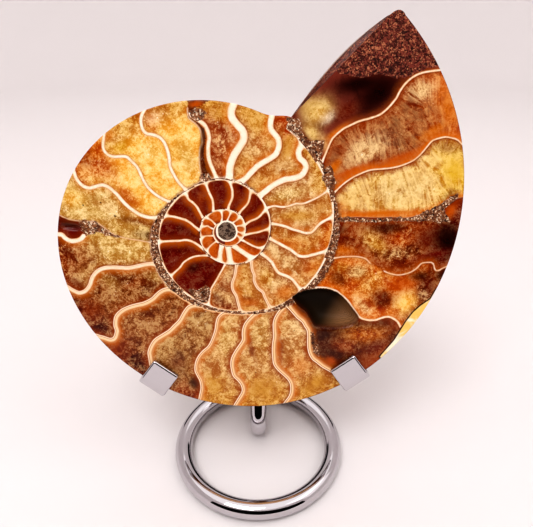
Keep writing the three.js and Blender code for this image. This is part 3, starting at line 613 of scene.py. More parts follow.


# Reading the face

# The walls between the chambers, from the mouth inwards, read from the photograph. Each row
# has the wall's name, its width, how white it is, how strongly the stone glows beside it, the tones
# of the chamber on its older side in the middle and at the outer edge, and its places in pixels.
SEPTA = [
    ("mouth", 0.5, 1.0, 1.0, "rust", "orange",
     [(441, 70), (432, 71), (421.5, 73), (413, 77), (406, 83), (400, 91), (396, 98.6), (389, 107),
      (381, 114), (371, 118), (360, 121), (351, 125), (343, 129), (336, 135), (331, 141), (323, 160)]),
    ("second", 0.42, 1.0, 1.0, "straw", "lime",
     [(462, 144), (457, 139.5), (450, 137.5), (445, 137), (438, 138.5), (432, 141), (426, 148),
      (420, 155), (414, 160), (408, 163), (400, 166), (391, 168), (381, 169), (370.5, 170), (362, 173),
      (353.5, 177), (346, 182), (340, 187), (335, 192)]),
    ("third", 0.45, 0.12, 0.9, "rust", "garnet",
     [(463, 197), (455.5, 199), (447, 205), (438.5, 209), (430, 212), (421.5, 214), (408, 217.5),
      (390, 217), (374, 217.5), (355, 217), (338, 219)]),
    ("fourth", 0.4, 0.85, 0.4, "russet", "rust",
     [(335, 258), (341, 257), (347, 256.6), (354, 256.4), (360, 257), (366, 259), (370.5, 263.4),
      (377, 267), (384, 271), (390, 273.5), (398, 275), (405, 274), (411, 272), (417, 268),
      (421.5, 263.4), (427, 262.5), (433, 263), (435, 270), (439, 270.5), (442, 268.5), (450, 265)]),
    ("fifth", 0.6, 1.0, 0.6, "umber", "rust",
     [(306, 290), (315, 288), (323, 287.5), (330, 288.7), (337, 291.5), (342, 295.5), (347, 300),
      (353, 308), (358, 315), (361, 318), (368, 320), (375, 320), (380, 318.5), (385, 317), (390, 317),
      (397, 321), (400, 326), (401, 328), (404, 334)]),
    ("sixth", 1.0, 1.0, 0.8, "pale_olive", "honey",
     [(285, 303), (291, 309), (298, 317), (303, 321), (306, 326), (308.5, 330), (309, 335), (309, 345),
      (310, 352), (313, 358), (318, 362), (323, 366), (330, 370), (340, 376)]),
    ("seventh", 0.95, 1.0, 0.9, "pale_olive", "honey",
     [(284, 307), (279, 313), (276, 318), (274.6, 323), (274.6, 330), (275, 336.5), (274, 343),
      (273.6, 350), (274, 357), (275, 364), (279, 369.5), (284, 374), (289, 379), (291.6, 384),
      (292, 390), (290.6, 396), (287, 401)]),
    ("eighth", 0.95, 1.0, 0.9, "pale_olive", "honey",
     [(259, 310), (253, 316), (248.5, 320.5), (245, 326), (243.6, 333), (243.7, 340), (240, 346),
      (236, 352), (233, 358), (232, 364), (232.8, 370), (234.5, 375.6), (239, 380), (242, 384),
      (243.4, 388), (243, 392.6), (238, 401)]),
    ("ninth", 0.8, 1.0, 0.7, "olive", "rust",
     [(230, 311), (224, 313), (219, 317), (217, 323), (216, 330), (213, 339), (209, 346.7), (203, 352),
      (199, 357), (196.5, 363), (196, 370.5), (198.5, 376), (201, 381), (202, 388), (200.5, 396)]),
    ("tenth", 1.1, 1.0, 0.8, "dusk_olive", "ember",
     [(207, 302), (200.5, 304), (194, 305.5), (188.6, 307.6), (184, 314), (180, 321), (175, 326),
      (170, 331), (163, 335.5), (156, 340), (152, 345.5), (149.6, 352), (150, 356), (151, 362)]),
    ("eleventh", 1.15, 1.0, 0.8, "dusk_olive", "ember",
     [(183, 287), (177, 288), (170, 289), (163, 290.6), (157.5, 294.5), (153, 299), (148, 302),
      (143, 304), (136, 305.5), (129, 307.6), (122, 311), (117, 316), (115.6, 321), (115.6, 326),
      (117, 331), (115, 338), (110.5, 340), (104, 338), (98.6, 336.5)]),
    ("twelfth", 1.1, 1.0, 0.7, "sedge", "rust",
     [(169, 268), (161.5, 266), (154, 264), (146, 264.5), (137, 266.5), (129, 268), (120, 267.7),
      (112, 267.5), (105, 268), (98.6, 270.5), (94, 275), (91.5, 280), (90, 285), (86, 290.5), (80, 293),
      (74, 291), (69, 288)]),
    ("thirteenth_line", 0.35, 0.6, 0.1, "sedge", "sedge",
     [(59, 215), (70, 219.5), (85, 221.5), (95, 221.5), (102, 226), (110, 232), (118, 236), (127, 238.5),
      (137, 240), (148, 242)]),
    ("thirteenth", 1.2, 1.0, 0.5, "garnet", "garnet",
     [(58.5, 234.3), (62, 234.8), (65, 238), (70, 240.8), (76, 240.8), (81, 239), (84.5, 235)]),
    ("fourteenth", 0.95, 1.0, 0.3, "sunny", "amber",
     [(74, 172), (76, 178), (80, 183.5), (85, 187), (90, 188), (96, 186.5), (102, 185), (107, 186.5),
      (112, 190), (117, 194.5), (122, 200.5), (128, 206.5), (136, 212.4), (142, 215.5), (149.6, 217.5),
      (156, 217.6)]),
    ("fifteenth", 0.8, 1.0, 0.15, "sunny", "honey",
     [(103.5, 139), (103, 144), (103.7, 149.6), (107, 154), (112, 156.5), (119, 156.5), (126, 156.7),
      (130, 159.8), (136.5, 166.3), (139.5, 171.5), (141.9, 177.1), (145, 183), (148.4, 188), (155, 194),
      (162.5, 198.8), (172, 203)]),
    ("sixteenth", 0.85, 1.0, 0.15, "sunny", "honey",
     [(143.8, 111), (141.5, 116), (140.8, 121), (141.9, 127.2), (144, 131.5), (147.4, 133.8),
      (152, 134.6), (157.1, 136), (161.5, 139), (164.7, 143.5), (167, 149), (168.5, 154.4), (169.3, 159),
      (169.6, 164.1), (171, 169), (173.4, 173.9), (178.8, 182.6), (185.3, 189.1)]),
    ("seventeenth", 0.4, 0.45, 0.2, "umber", "umber",
     [(187.5, 107.7), (187.6, 113), (189.1, 118.6), (195.1, 123.5), (199, 128), (200.9, 133),
      (201.6, 142.4), (200, 148), (199.4, 153.3), (199.4, 164.1), (201.6, 177)]),
    ("seventeenth_wall", 1.0, 1.0, 0.6, "mauve", "honey",
     [(199.5, 121), (203, 123.5), (205.9, 127.2), (208, 132), (209.2, 138.1), (208.4, 144), (208.1, 150),
      (208.4, 155), (209.2, 159.8), (210.5, 164), (212.4, 168.5), (215.7, 176)]),
    ("eighteenth", 1.9, 1.0, 0.6, "apricot", "honey",
     [(233, 105.5), (231.2, 110.5), (231.5, 116.4), (234, 121), (238, 125.5), (242, 130), (243.9, 134.5),
      (243.5, 140), (241, 144.5), (238, 149), (235, 153.5), (232.8, 158), (231, 163), (229.8, 168),
      (229.5, 174)]),
    ("nineteenth", 1.45, 1.0, 0.6, "apricot", "orange",
     [(271.5, 117), (270.5, 123), (271, 129.4), (274.5, 134), (277.8, 138.5), (279, 144), (278, 149.5),
      (275.6, 154.4), (270, 158.5), (264, 162), (258, 165.7), (254.5, 169), (250.5, 173), (246, 178),
      (241.6, 181)]),
    ("twentieth", 1.5, 1.0, 0.5, "tan", "honey",
     [(301, 146), (298.5, 152), (299.8, 158), (304, 162), (306, 167), (303.5, 173), (299.5, 176.5),
      (292, 178.5), (285, 179.5), (278, 182.5), (272, 186), (267, 190), (262, 194)]),
    ("twentyfirst", 0.55, 1.0, 0.3, "tan", "apricot",
     [(330, 189), (320, 196), (309, 201.5), (302, 203.8), (296, 203.6), (289, 206), (282, 207),
      (274, 206), (268.5, 207.5)]),
    ("twentysecond", 0.75, 1.0, 0.5, "apricot", "amber",
     [(331, 217.5), (325, 220.5), (319.5, 224), (315, 229), (311, 232.5), (305, 233), (299, 231),
      (292, 229), (285.5, 226.5), (278, 224.6), (271, 223.5)]),
    ("twentythird", 0.85, 1.0, 0.5, "tan", "apricot",
     [(323, 252), (314, 254.5), (306, 256.4), (300, 256.2), (296, 254), (291, 250), (285.5, 247),
      (279, 243.5), (271, 239)]),
    ("twentyfourth", 0.9, 1.0, 0.5, "tan", "apricot",
     [(297, 285), (292, 279), (286, 275.8), (279, 273), (275, 268), (272, 262.5), (268, 258.5),
      (263.4, 255)]),
    ("twentyfifth", 0.8, 0.85, 0.4, "apricot", "apricot",
     [(269, 305), (265, 297), (263, 292), (258, 288), (254.5, 281), (254.5, 275), (252.5, 270),
      (251.5, 263)]),
    ("twentysixth", 0.8, 1.0, 0.6, "tan", "rust",
     [(240, 309), (238, 302), (236.5, 296), (233, 290), (232.5, 283), (235, 276), (236.5, 266)]),
    ("twentyseventh", 0.5, 0.5, 0.4, "garnet", "garnet",
     [(209, 301), (210, 294), (211, 289), (214, 284), (217, 279), (222.6, 269)]),
    ("garnet_1", 0.5, 1.0, 0.7, "garnet", "garnet",
     [(174, 273), (180, 267.4), (183.8, 262.3), (189.6, 258.4), (195.9, 256.2), (202.3, 255.6),
      (208, 255.5)]),
    ("garnet_2", 0.6, 1.0, 0.7, "garnet", "garnet",
     [(164, 241.5), (172, 241), (180, 240.7), (185, 240), (189.6, 240.6), (194.7, 242.8), (199.8, 246.3),
      (203, 249)]),
    ("garnet_3", 0.6, 1.0, 0.7, "garnet", "garnet",
     [(166, 216), (173, 216.5), (180, 218.3), (185.1, 219.9), (190.2, 222.7), (194.7, 226.6),
      (200, 230.5)]),
    ("garnet_4", 0.6, 1.0, 0.7, "garnet", "garnet",
     [(181, 190), (186.4, 194.7), (188.3, 199.1), (192.8, 202.6), (196.6, 206.5), (199.1, 210.6),
      (201.7, 215.7), (204, 219.5)]),
    ("garnet_5", 0.6, 1.0, 0.7, "garnet", "garnet",
     [(205.5, 182), (206.8, 186.4), (208.1, 190.2), (210, 194.7), (212.5, 199.8), (213.2, 205.5),
      (213.2, 212)]),
    ("garnet_6", 0.6, 1.0, 0.7, "garnet", "garnet",
     [(229.5, 181), (231, 185.7), (232.3, 190.8), (232.3, 197.2), (230.4, 202.3), (228.8, 206.1),
      (228, 211)]),
    ("garnet_7", 0.55, 1.0, 0.7, "garnet", "garnet",
     [(252, 189), (250.2, 194), (249.5, 198.5), (247.6, 203.6), (244.4, 207.4), (241.2, 210.6),
      (238.5, 214.5)]),
    ("garnet_8", 0.55, 1.0, 0.7, "garnet", "garnet",
     [(267, 208.5), (262.9, 212.5), (259.7, 216.4), (255.3, 219.2), (250.2, 221.1), (245.5, 224.5)]),
    ("garnet_9", 0.55, 1.0, 0.7, "garnet", "garnet",
     [(271, 228), (267.7, 229.1), (263.5, 230.4), (257.8, 232.3), (252.1, 233.3), (246, 234.7)]),
    ("garnet_10", 0.55, 1.0, 0.7, "orange", "orange",
     [(268, 246.5), (262.3, 247.6), (257.8, 247.6), (253.3, 246), (248.9, 243.8), (243, 240.5)]),
    ("pearl_1", 1.3, 1.0, 0.4, "orange", "orange",
     [(252, 258), (244, 253), (236, 247.5)]),
    ("pearl_2", 1.5, 1.0, 0.4, "orange", "orange",
     [(230, 259), (229, 253), (228, 246)]),
    ("pearl_3", 1.2, 1.0, 0.4, "orange", "orange",
     [(220, 258), (220.5, 252), (222, 245)]),
    ("inner_1", 0.4, 1.0, 0.4, "orange", "amber",
     [(205, 256), (206.8, 253.3), (208.1, 248.9), (211.3, 245.1), (215.1, 242.2), (217.6, 241.2)]),
    ("inner_2", 0.4, 1.0, 0.4, "orange", "amber",
     [(200, 240), (202.3, 238), (205.5, 236.1), (210, 235.8), (213.8, 235.5), (217, 234.5)]),
    ("inner_3", 0.4, 1.0, 0.4, "orange", "amber",
     [(201, 226), (204.2, 226.6), (207.4, 225.9), (210.6, 227.8), (213.8, 229.1), (217, 229.5)]),
    ("inner_4", 0.4, 1.0, 0.4, "orange", "amber",
     [(207, 217.5), (208.7, 218.9), (211.3, 220.2), (213.8, 222.7), (216.4, 225.3), (219, 227)]),
    ("inner_5", 0.4, 1.0, 0.4, "orange", "amber",
     [(221, 211), (221.8, 213.8), (222.1, 217.6), (221.5, 221.5), (222, 224)]),
    ("inner_6", 0.4, 1.0, 0.4, "orange", "amber",
     [(231, 212), (229.7, 215.1), (228.2, 218.3), (226.9, 221.5), (226.5, 224)]),
    ("inner_7", 0.4, 1.0, 0.4, "orange", "amber",
     [(239, 217.5), (237.4, 219.5), (234.8, 221.5), (232.3, 223), (230.5, 225.5)]),
    ("inner_8", 0.4, 1.0, 0.4, "orange", "amber",
     [(243.5, 225), (241.2, 225.6), (238, 225.9), (235.5, 226.9), (232.5, 228.5)]),
    ("inner_9", 0.4, 1.0, 0.4, "orange", "amber",
     [(244, 233), (241.5, 232.9), (238.7, 232), (236.8, 231), (233, 231)]),
    ("inner_10", 0.4, 1.0, 0.4, "orange", "amber",
     [(241, 239), (239.3, 237.4), (237.1, 235.5), (234, 234)]),
]
# The number of a place where a wall is broken, and the ends where a wall stops short
WALL_BREAKS = {"fourth": 7}
SHORT_ENDS = {"thirteenth": "inner", "seventeenth": "outer"}
# Past this length of a wall, the space on its younger side belongs to the chamber before
JOINED_PAST = {"thirteenth_line": 10.5}
# Walls that are apricot and doubled by a dark line; the others are white with thin tan edges
APRICOT_WALLS = {"sixth": 1.0, "seventh": 1.0, "eighth": 1.0, "ninth": 1.0, "tenth": 0.9, "eleventh": 0.8,
                 "twelfth": 0.35, "twentyfifth": 0.6, "twentysixth": 0.6}

# A wall's line has this many steps between two places, and runs on by this much past its ends
LINE_STEPS = 4
WALL_RUN_ON = 3.0
# A half width below nothing, where a wall is broken or stops short
BREAK_DEPTH = 1.2
NO_WALL = -6.0
# No place belongs to a wall further round the spiral than this
WALL_REACH = math.radians(75.0)

# The tones, named as a lapidary would name them, in the usual 0 to 255 for red, green and blue
TONES = {
    "cream": (250, 230, 200), "straw": (212, 168, 84), "lime": (220, 178, 50),
    "pale_olive": (204, 156, 94), "olive": (172, 122, 64), "dusk_olive": (152, 88, 38),
    "tan": (206, 162, 106), "honey": (202, 148, 58), "amber": (204, 116, 20), "apricot": (206, 154, 82),
    "orange": (194, 94, 14), "rust": (150, 62, 8), "ember": (112, 32, 5), "umber": (88, 34, 10),
    "mauve": (184, 112, 62), "garnet": (112, 16, 5), "plum": (128, 60, 46), "plum_dark": (62, 20, 12),
    "blush": (196, 132, 96), "night": (36, 5, 3), "snow": (252, 242, 222), "moss": (42, 27, 8),
    "sedge": (208, 172, 102), "clay": (140, 86, 54), "slate": (138, 118, 102), "ash": (66, 50, 42),
    "rose_brown": (150, 112, 76), "wall_white": (250, 236, 217), "wall_tan": (206, 150, 98),
    "wall_apricot": (240, 203, 158), "russet": (208, 112, 20), "sunny": (240, 200, 112),
    "reed": (222, 190, 118), "earth": (98, 56, 34), "sand": (150, 98, 62), "milk": (250, 222, 160),
    "pearl": (206, 190, 180),
}
# How much white crystal stands in a chamber of each tone; the rest have a middling amount
CRYSTAL = {"garnet": 0.13, "ember": 0.15, "umber": 0.15, "straw": 0.8, "pale_olive": 0.7, "orange": 0.15,
           "sedge": 0.9, "sunny": 0.8, "tan": 0.8, "rust": 0.35}
PLAIN_CRYSTAL = 0.55

# Patches of colour: place, length and width in pixels, tilt in degrees, tone, strength,
# and how much white crystal stands in the patch, from 0 to 1
PATCHES = [
    # the body chamber
    (378, 94, 70, 36, 42, "night", 1.0, 0.0), (358, 84, 56, 22, 8, "night", 1.0, 0.0),
    (345, 112, 30, 18, 30, "ember", 0.8, 0.1), (318, 112, 34, 26, 45, "reed", 1.0, 0.5),
    (308, 106, 20, 14, 50, "reed", 0.6, 0.1), (326, 118, 16, 10, 30, "snow", 0.6, 1.0),
    (335, 134, 34, 8, 38, "amber", 0.9, 0.1), (312, 133, 22, 14, -50, "reed", 0.9, 0.5),
    (325, 143, 24, 12, -60, "tan", 0.8, 0.3),
    # first chamber
    (448, 106, 40, 16, -65, "amber", 0.9, 0.1), (436, 112, 40, 8, -60, "rust", 0.6, 0.2),
    (422, 90, 26, 20, 20, "tan", 0.8, 1.0), (412, 120, 46, 22, 40, "rust", 0.95, 0.35),
    (366, 150, 44, 24, 25, "tan", 0.9, 1.0), (334, 168, 24, 10, 60, "amber", 1.0, 0.0),
    (350, 172, 50, 8, 22, "orange", 0.9, 0.0), (400, 158, 60, 9, 20, "orange", 0.9, 0.0),
    (432, 132, 36, 10, 30, "amber", 0.9, 0.1), (340, 150, 20, 12, 45, "rust", 0.8, 0.1),
    # second chamber
    (454, 172, 26, 30, 0, "lime", 1.0, 0.1), (448, 148, 30, 12, -10, "dusk_olive", 0.8, 0.2),
    (400, 190, 70, 26, 8, "sedge", 0.8, 0.75), (356, 200, 40, 26, 10, "honey", 0.6, 0.6),
    (380, 213, 90, 7, 2, "amber", 1.0, 0.0), (452, 198, 20, 14, 30, "ember", 0.9, 0.0),
    (340, 208, 18, 16, 0, "amber", 0.7, 0.1),
    # third chamber
    (352, 234, 44, 22, 0, "rust", 0.95, 0.35), (342, 250, 26, 10, 0, "amber", 0.9, 0.3),
    (388, 228, 40, 13, 0, "umber", 1.0, 0.1), (376, 244, 34, 16, -40, "honey", 0.9, 1.0),
    (402, 252, 44, 14, 10, "dusk_olive", 0.9, 1.0), (430, 238, 34, 24, 10, "ember", 1.0, 0.1),
    (402, 238, 28, 18, 30, "orange", 0.8, 0.7), (448, 240, 30, 44, 10, "night", 1.0, 0.0),
    (432, 256, 40, 10, 15, "garnet", 0.9, 0.1), (450, 211, 20, 12, 60, "orange", 1.0, 0.0),
    (436, 216, 18, 9, 10, "night", 1.0, 0.0), (340, 229, 14, 10, 0, "umber", 0.8, 0.1),
    # fourth chamber
    (340, 268, 26, 12, -10, "honey", 0.8, 0.6), (338, 279, 22, 14, -20, "umber", 0.6, 0.1),
    (358, 272, 24, 16, 10, "olive", 0.9, 1.0), (372, 282, 34, 22, 30, "honey", 0.6, 1.0),
    (362, 306, 24, 12, -40, "tan", 0.8, 1.0), (406, 303, 28, 22, 40, "sunny", 1.0, 0.5),
    (382, 298, 26, 20, 0, "ember", 0.95, 0.2), (402, 283, 36, 16, 10, "orange", 1.0, 0.1),
    (428, 284, 30, 18, -60, "ember", 1.0, 0.2), (444, 272, 22, 20, -60, "night", 1.0, 0.0),
    (390, 312, 20, 8, 10, "amber", 0.8, 0.7), (418, 276, 22, 10, 0, "night", 0.7, 0.0),
    (424, 296, 26, 10, -55, "clay", 0.8, 0.8),
    # fifth chamber, below the hollow
    (330, 334, 40, 12, 0, "night", 0.45, 0.0), (366, 335, 50, 18, 0, "amber", 0.8, 0.6),
    (346, 346, 30, 14, -10, "rust", 0.9, 0.4), (376, 346, 26, 14, 30, "ember", 0.9, 0.2),
    (326, 352, 18, 14, -60, "umber", 0.9, 0.1), (394, 338, 18, 14, 50, "umber", 0.8, 0.3),
    (352, 370, 26, 12, 0, "rust", 0.7, 0.3), (331, 361, 12, 8, -20, "orange", 0.9, 0.0),
    # the bottom of the outer turn
    (296, 330, 18, 40, 0, "tan", 0.7, 1.0), (300, 366, 24, 20, 30, "amber", 0.6, 0.2),
    (262, 335, 22, 40, 0, "sedge", 0.6, 1.0), (262, 388, 44, 26, 0, "honey", 0.9, 0.1),
    (226, 340, 20, 44, 20, "sedge", 0.6, 0.9), (214, 384, 26, 24, 0, "honey", 0.9, 0.2),
    (196, 383, 14, 16, 60, "night", 0.9, 0.0), (188, 336, 26, 34, 40, "dusk_olive", 0.5, 0.8),
    (178, 362, 22, 20, 40, "ember", 0.7, 0.1), (280, 352, 7, 40, 5, "rust", 0.8, 0.0),
    (249, 340, 6, 44, 15, "rust", 0.7, 0.0), (316, 384, 34, 16, 30, "honey", 1.0, 0.1),
    # the left side
    (150, 322, 40, 22, 40, "dusk_olive", 0.8, 0.5), (118, 350, 34, 24, 45, "rust", 0.8, 0.1),
    (132, 284, 44, 10, 15, "rust", 0.6, 0.5), (158, 276, 24, 12, 10, "sedge", 0.7, 0.9),
    (112, 282, 24, 12, -40, "sedge", 0.6, 0.9), (92, 310, 24, 26, 50, "rust", 0.7, 0.1),
    (132, 250, 44, 22, 0, "sedge", 0.9, 0.9), (80, 258, 42, 34, 0, "rust", 0.7, 0.3),
    (74, 284, 22, 16, 0, "ember", 0.8, 0.1), (70, 224, 24, 8, -8, "umber", 1.0, 0.0),
    (110, 240, 34, 9, -25, "olive", 0.8, 0.5), (72, 198, 26, 20, 0, "sunny", 0.7, 0.8),
    (108, 206, 30, 16, -30, "tan", 0.5, 1.0), (150, 236, 30, 12, -10, "umber", 0.7, 0.3),
    (140, 222, 40, 8, -10, "dusk_olive", 0.7, 0.4), (100, 168, 40, 24, -30, "orange", 0.8, 0.6),
    (84, 158, 20, 20, 60, "rust", 0.8, 0.3), (128, 196, 30, 14, -45, "amber", 0.7, 0.4),
    (96, 150, 20, 14, 40, "amber", 0.7, 0.4),
    # the top
    (122, 146, 20, 12, 40, "lime", 0.7, 0.4), (108, 136, 16, 10, 40, "amber", 0.7, 0.1),
    (152, 118, 20, 14, 20, "cream", 0.5, 1.0), (152, 126, 14, 20, 0, "amber", 0.6, 0.4),
    (186, 156, 20, 44, 20, "reed", 0.7, 0.7), (150, 152, 22, 24, -40, "reed", 0.4, 1.0),
    (222, 146, 18, 36, 10, "mauve", 0.9, 0.9), (222, 115, 22, 16, 0, "honey", 0.9, 0.4),
    (196, 104, 18, 7, 5, "orange", 1.0, 0.0), (257, 122, 22, 20, -20, "honey", 0.9, 0.5),
    (256, 148, 22, 26, 30, "tan", 0.8, 0.9), (262, 140, 10, 26, -20, "amber", 0.35, 0.6),
    (286, 148, 18, 24, -10, "honey", 0.9, 0.2), (284, 166, 24, 14, 20, "tan", 0.8, 0.7),
    (292, 138, 12, 10, -30, "honey", 0.7, 0.7),
    # the second turn
    (316, 187, 14, 12, 30, "honey", 0.7, 0.9), (284, 196, 40, 14, 15, "sedge", 0.8, 1.0),
    (296, 216, 44, 12, 0, "honey", 0.9, 0.25), (320, 206, 16, 20, 0, "apricot", 0.8, 0.2),
    (296, 243, 34, 10, 0, "amber", 0.5, 0.4), (288, 262, 26, 14, -30, "tan", 0.9, 0.8),
    (312, 268, 26, 20, 50, "amber", 0.7, 0.1), (266, 278, 16, 20, -20, "honey", 0.8, 0.8),
    (284, 292, 22, 14, 20, "amber", 0.8, 0.1), (246, 300, 12, 10, 0, "rust", 0.7, 0.3),
    (223, 284, 14, 20, 10, "rust", 0.7, 0.4), (216, 298, 16, 10, -30, "ember", 0.8, 0.3),
    (250, 303, 20, 8, 0, "amber", 0.7, 0.1), (201, 198, 8, 12, 0, "rust", 0.8, 0.1),
    (184, 250, 14, 10, 20, "ember", 0.6, 0.4), (241, 200, 8, 12, 30, "rust", 0.5, 0.1),
    (194, 268, 14, 10, 30, "night", 0.6, 0.1), (180, 228, 12, 8, 20, "night", 0.4, 0.1),
]

# Small dark marks: pixel place and radius
SPOTS = [
    (386, 25, 2.3), (393.5, 46.5, 2.3), (294, 331, 1.3), (256, 372, 1.5), (101, 203, 1.4),
    (115, 216, 1.5), (83, 205, 1.2), (318, 120, 1.0), (241, 188, 1.2), (150, 268, 1.3), (360, 332, 1.5),
    (226, 333, 1.2),
]

# Places of plain brown stone, between the turns and at the mouth, as outlines in pixels
STONE_PLACES = [
    [(332, 72), (341, 73), (350, 76), (363, 78), (380, 74), (392, 78), (407, 78), (425, 69.5), (442, 66),
     (440, 40), (410, 0), (380, 0)],
    [(284, 117), (290, 117), (298, 118), (303, 128), (302, 138), (296, 132), (290, 124)],
    [(309, 141), (325, 139), (324, 150), (320, 160), (313, 156)],
    [(336, 216), (350, 217), (375, 219), (395, 217), (412, 217), (425, 211), (436, 206), (446, 199),
     (458, 193), (460, 198), (450, 204), (444, 210), (452, 222), (440, 224), (430, 221), (415, 222),
     (395, 221), (375, 223), (350, 222), (336, 223)],
    [(309, 328), (314, 332), (318, 345), (320, 358), (312, 352), (310, 340)],
    [(186, 287), (196, 290), (206, 285), (212, 291), (209, 301), (202, 304), (194, 300)],
    [(200, 173), (209, 172), (213, 179), (206, 184), (200, 181)],
    [(187, 110), (196, 107), (206, 110), (206, 118), (198, 123), (190, 119)],
    [(322, 170), (331, 165), (336, 182), (334, 190), (328, 190), (323, 180)],
    [(78, 219), (96, 221), (104, 227), (113, 233), (124, 238), (112, 237), (100, 233), (94, 234),
     (86, 236), (80, 229)],
]
# Further up the face than this, the stone is the mouth's plum stone
MOUTH_STONE_UP = 36.0
# A thin lens of clear honey stone outside the last dark line, low on the right
RIM_LENS = [
    (436, 289), (430, 299), (421, 305), (413, 312), (406, 321), (401, 329), (394, 340), (387, 348),
    (379, 357), (392, 364), (412, 346), (430, 322), (443, 292),
]

# The radii of the grey stone in the middle of the spiral and of the white ring round it
DISC_RADIUS = 2.35
DISC_RING = 2.7

# How far the walls between the turns lie from the even spiral on this face: degrees round the
# spiral, and millimetres
WALL_DRIFT = [
    (-1500, 0.0), (-1000, -0.4), (-929, -1.0), (-895, -1.6), (-858, -1.2), (-797, -0.9), (-740, -0.2),
    (-700, -0.5), (-628, -0.8), (-607, -1.4), (-587, -2.1), (-566, -2.3), (-534, -1.6), (-500, -0.8),
    (-445, -0.3), (-412, 0.9), (-381, 1.2), (-350, 0.8), (-320, 0.0),
]
# The width of the brown stone between the turns, in the same way
STONE_WIDTH = [
    (-1500, 0.05), (-740, 0.15), (-698, 0.25), (-660, 0.2), (-625, 0.3), (-585, 0.35), (-565, 0.9),
    (-545, 1.8), (-520, 2.2), (-495, 2.2), (-470, 1.2), (-455, 0.7), (-430, 0.8), (-405, 1.6),
    (-385, 2.2), (-360, 1.9), (-345, 1.1), (-330, 0.9), (-315, 1.6),
]
# The chambers, counted from the mouth, whose crystals stand in streaks away from the walls
STREAKED = [1, 2]
# How strongly the stone of the body chamber glows beside its wall
BODY_CHAMBER_GLOW = 0.25
# How plainly a cream line follows the inner edge of the outer turn's chambers, by degrees
SEAM_LINE = [
    (-300, 0.2), (-255, 0.6), (-230, 0.3), (-190, 0.1), (-150, 0.5), (-125, 1.0), (-75, 1.0), (-62, 0.4),
    (-50, 0.0),
]


def face_wall(turned):
    """The wall as it is seen in the face: the even spiral and its drift."""
    knots = np.array(WALL_DRIFT)
    return wall_radius(turned) + np.interp(np.degrees(turned), knots[:, 0], knots[:, 1])


def on_spiral(places):
    """The angle round the spiral and the radius of a place, and the radii of the wall outside it
    and the wall inside it."""
    radius = np.hypot(places[:, 0], places[:, 1])
    angle = np.arctan2(places[:, 1], places[:, 0])
    angle = last_turn_angle(angle)
    inside = sum((radius < face_wall(angle - turn * TAU)).astype(int) for turn in range(1, 6))
    return angle - inside * TAU, radius


class Septum:
    """One wall between chambers: its line on the face from the outer edge inwards, run on past both
    ends, with its half width along it."""

    def __init__(self, name, width, white, glow, middle_tone, edge_tone, pixels):
        line = line_through(from_photo(pixels), LINE_STEPS * (len(pixels) - 1) + 1)
        before = line[0] + (line[0] - line[1]) / np.linalg.norm(line[0] - line[1]) * WALL_RUN_ON
        after = line[-1] + (line[-1] - line[-2]) / np.linalg.norm(line[-1] - line[-2]) * WALL_RUN_ON
        line = np.concatenate([before[None], line, after[None]])
        half = np.full(len(line), width / 2)
        if name in WALL_BREAKS:
            apart = np.abs(np.arange(len(line)) - 1 - LINE_STEPS * WALL_BREAKS[name]) / LINE_STEPS
            half = np.minimum(half, (width / 2 + BREAK_DEPTH) * np.clip(apart, 0, 1) - BREAK_DEPTH)
        if np.hypot(*line[0]) < np.hypot(*line[-1]):
            line = line[::-1]
            half = half[::-1].copy()
        if name in SHORT_ENDS:
            half[0 if SHORT_ENDS[name] == "outer" else -1] = NO_WALL
        self.line = line
        self.length = np.linalg.norm(np.diff(line, axis=0), axis=1).sum()
        self.half = half
        self.white = white
        self.glow = glow
        self.apricot = APRICOT_WALLS.get(name, 0.0)
        self.joined_past = JOINED_PAST.get(name, math.inf)
        self.turned = float(on_spiral(line[len(line) // 2][None])[0][0])
        self.tones = (middle_tone, edge_tone)

    def measure(self, places):
        """The signed distance to the wall's line, positive on the older side, the half width there,
        and how far along the line the nearest point lies, in millimetres."""
        distance, where = distance_to_line(places, self.line)
        half = np.interp(where, np.linspace(0, 1, len(self.half)), self.half)
        return distance, half, where * self.length


septa = sorted((Septum(*row) for row in SEPTA), key=lambda wall: -wall.turned)


def nearest_septum(places, turned):
    """The number of the wall nearest each place, among those that aren't too far round the spiral."""
    best = np.full(len(places), np.inf)
    number = np.zeros(len(places), int)
    for i, wall in enumerate(septa):
        near = np.abs(turned - wall.turned) < WALL_REACH
        distance = np.abs(wall.measure(places[near])[0])
        closer = distance < best[near]
        index = np.flatnonzero(near)[closer]
        best[index] = distance[closer]
        number[index] = i
    return number


def light(tone):
    """A tone's linear red, green and blue."""
    value = np.array(TONES[tone]) / 255
    return np.where(value > 0.04045, ((value + 0.055) / 1.055) ** 2.4, value / 12.92)


def solid(tone):
    """A tone as a shader's colour, fully opaque."""
    return (*light(tone), 1.0)


def inside_distance(places, pixels):
    """How far inside an outline read from the photograph a place lies. A place is inside where a
    level line to its right crosses the outline an odd number of times."""
    line = from_photo(pixels)
    closed = np.concatenate([line, line[:1]])
    margin = 2.5
    near = ((places > line.min(0) - margin) & (places < line.max(0) + margin)).all(1)
    distance = np.full(len(places), FAR_OUTSIDE)
    x, y = places[near].T[..., None]
    start, end = closed[:-1].T, closed[1:].T
    level = (start[1] > y) != (end[1] > y)
    rise = np.where(start[1] == end[1], 1.0, end[1] - start[1])
    crossed = level & (x < start[0] + (y - start[1]) * (end[0] - start[0]) / rise)
    side = np.where(crossed.sum(1) % 2 == 1, 1.0, -1.0)
    distance[near] = np.abs(distance_to_line(places[near], closed)[0]) * side
    return distance


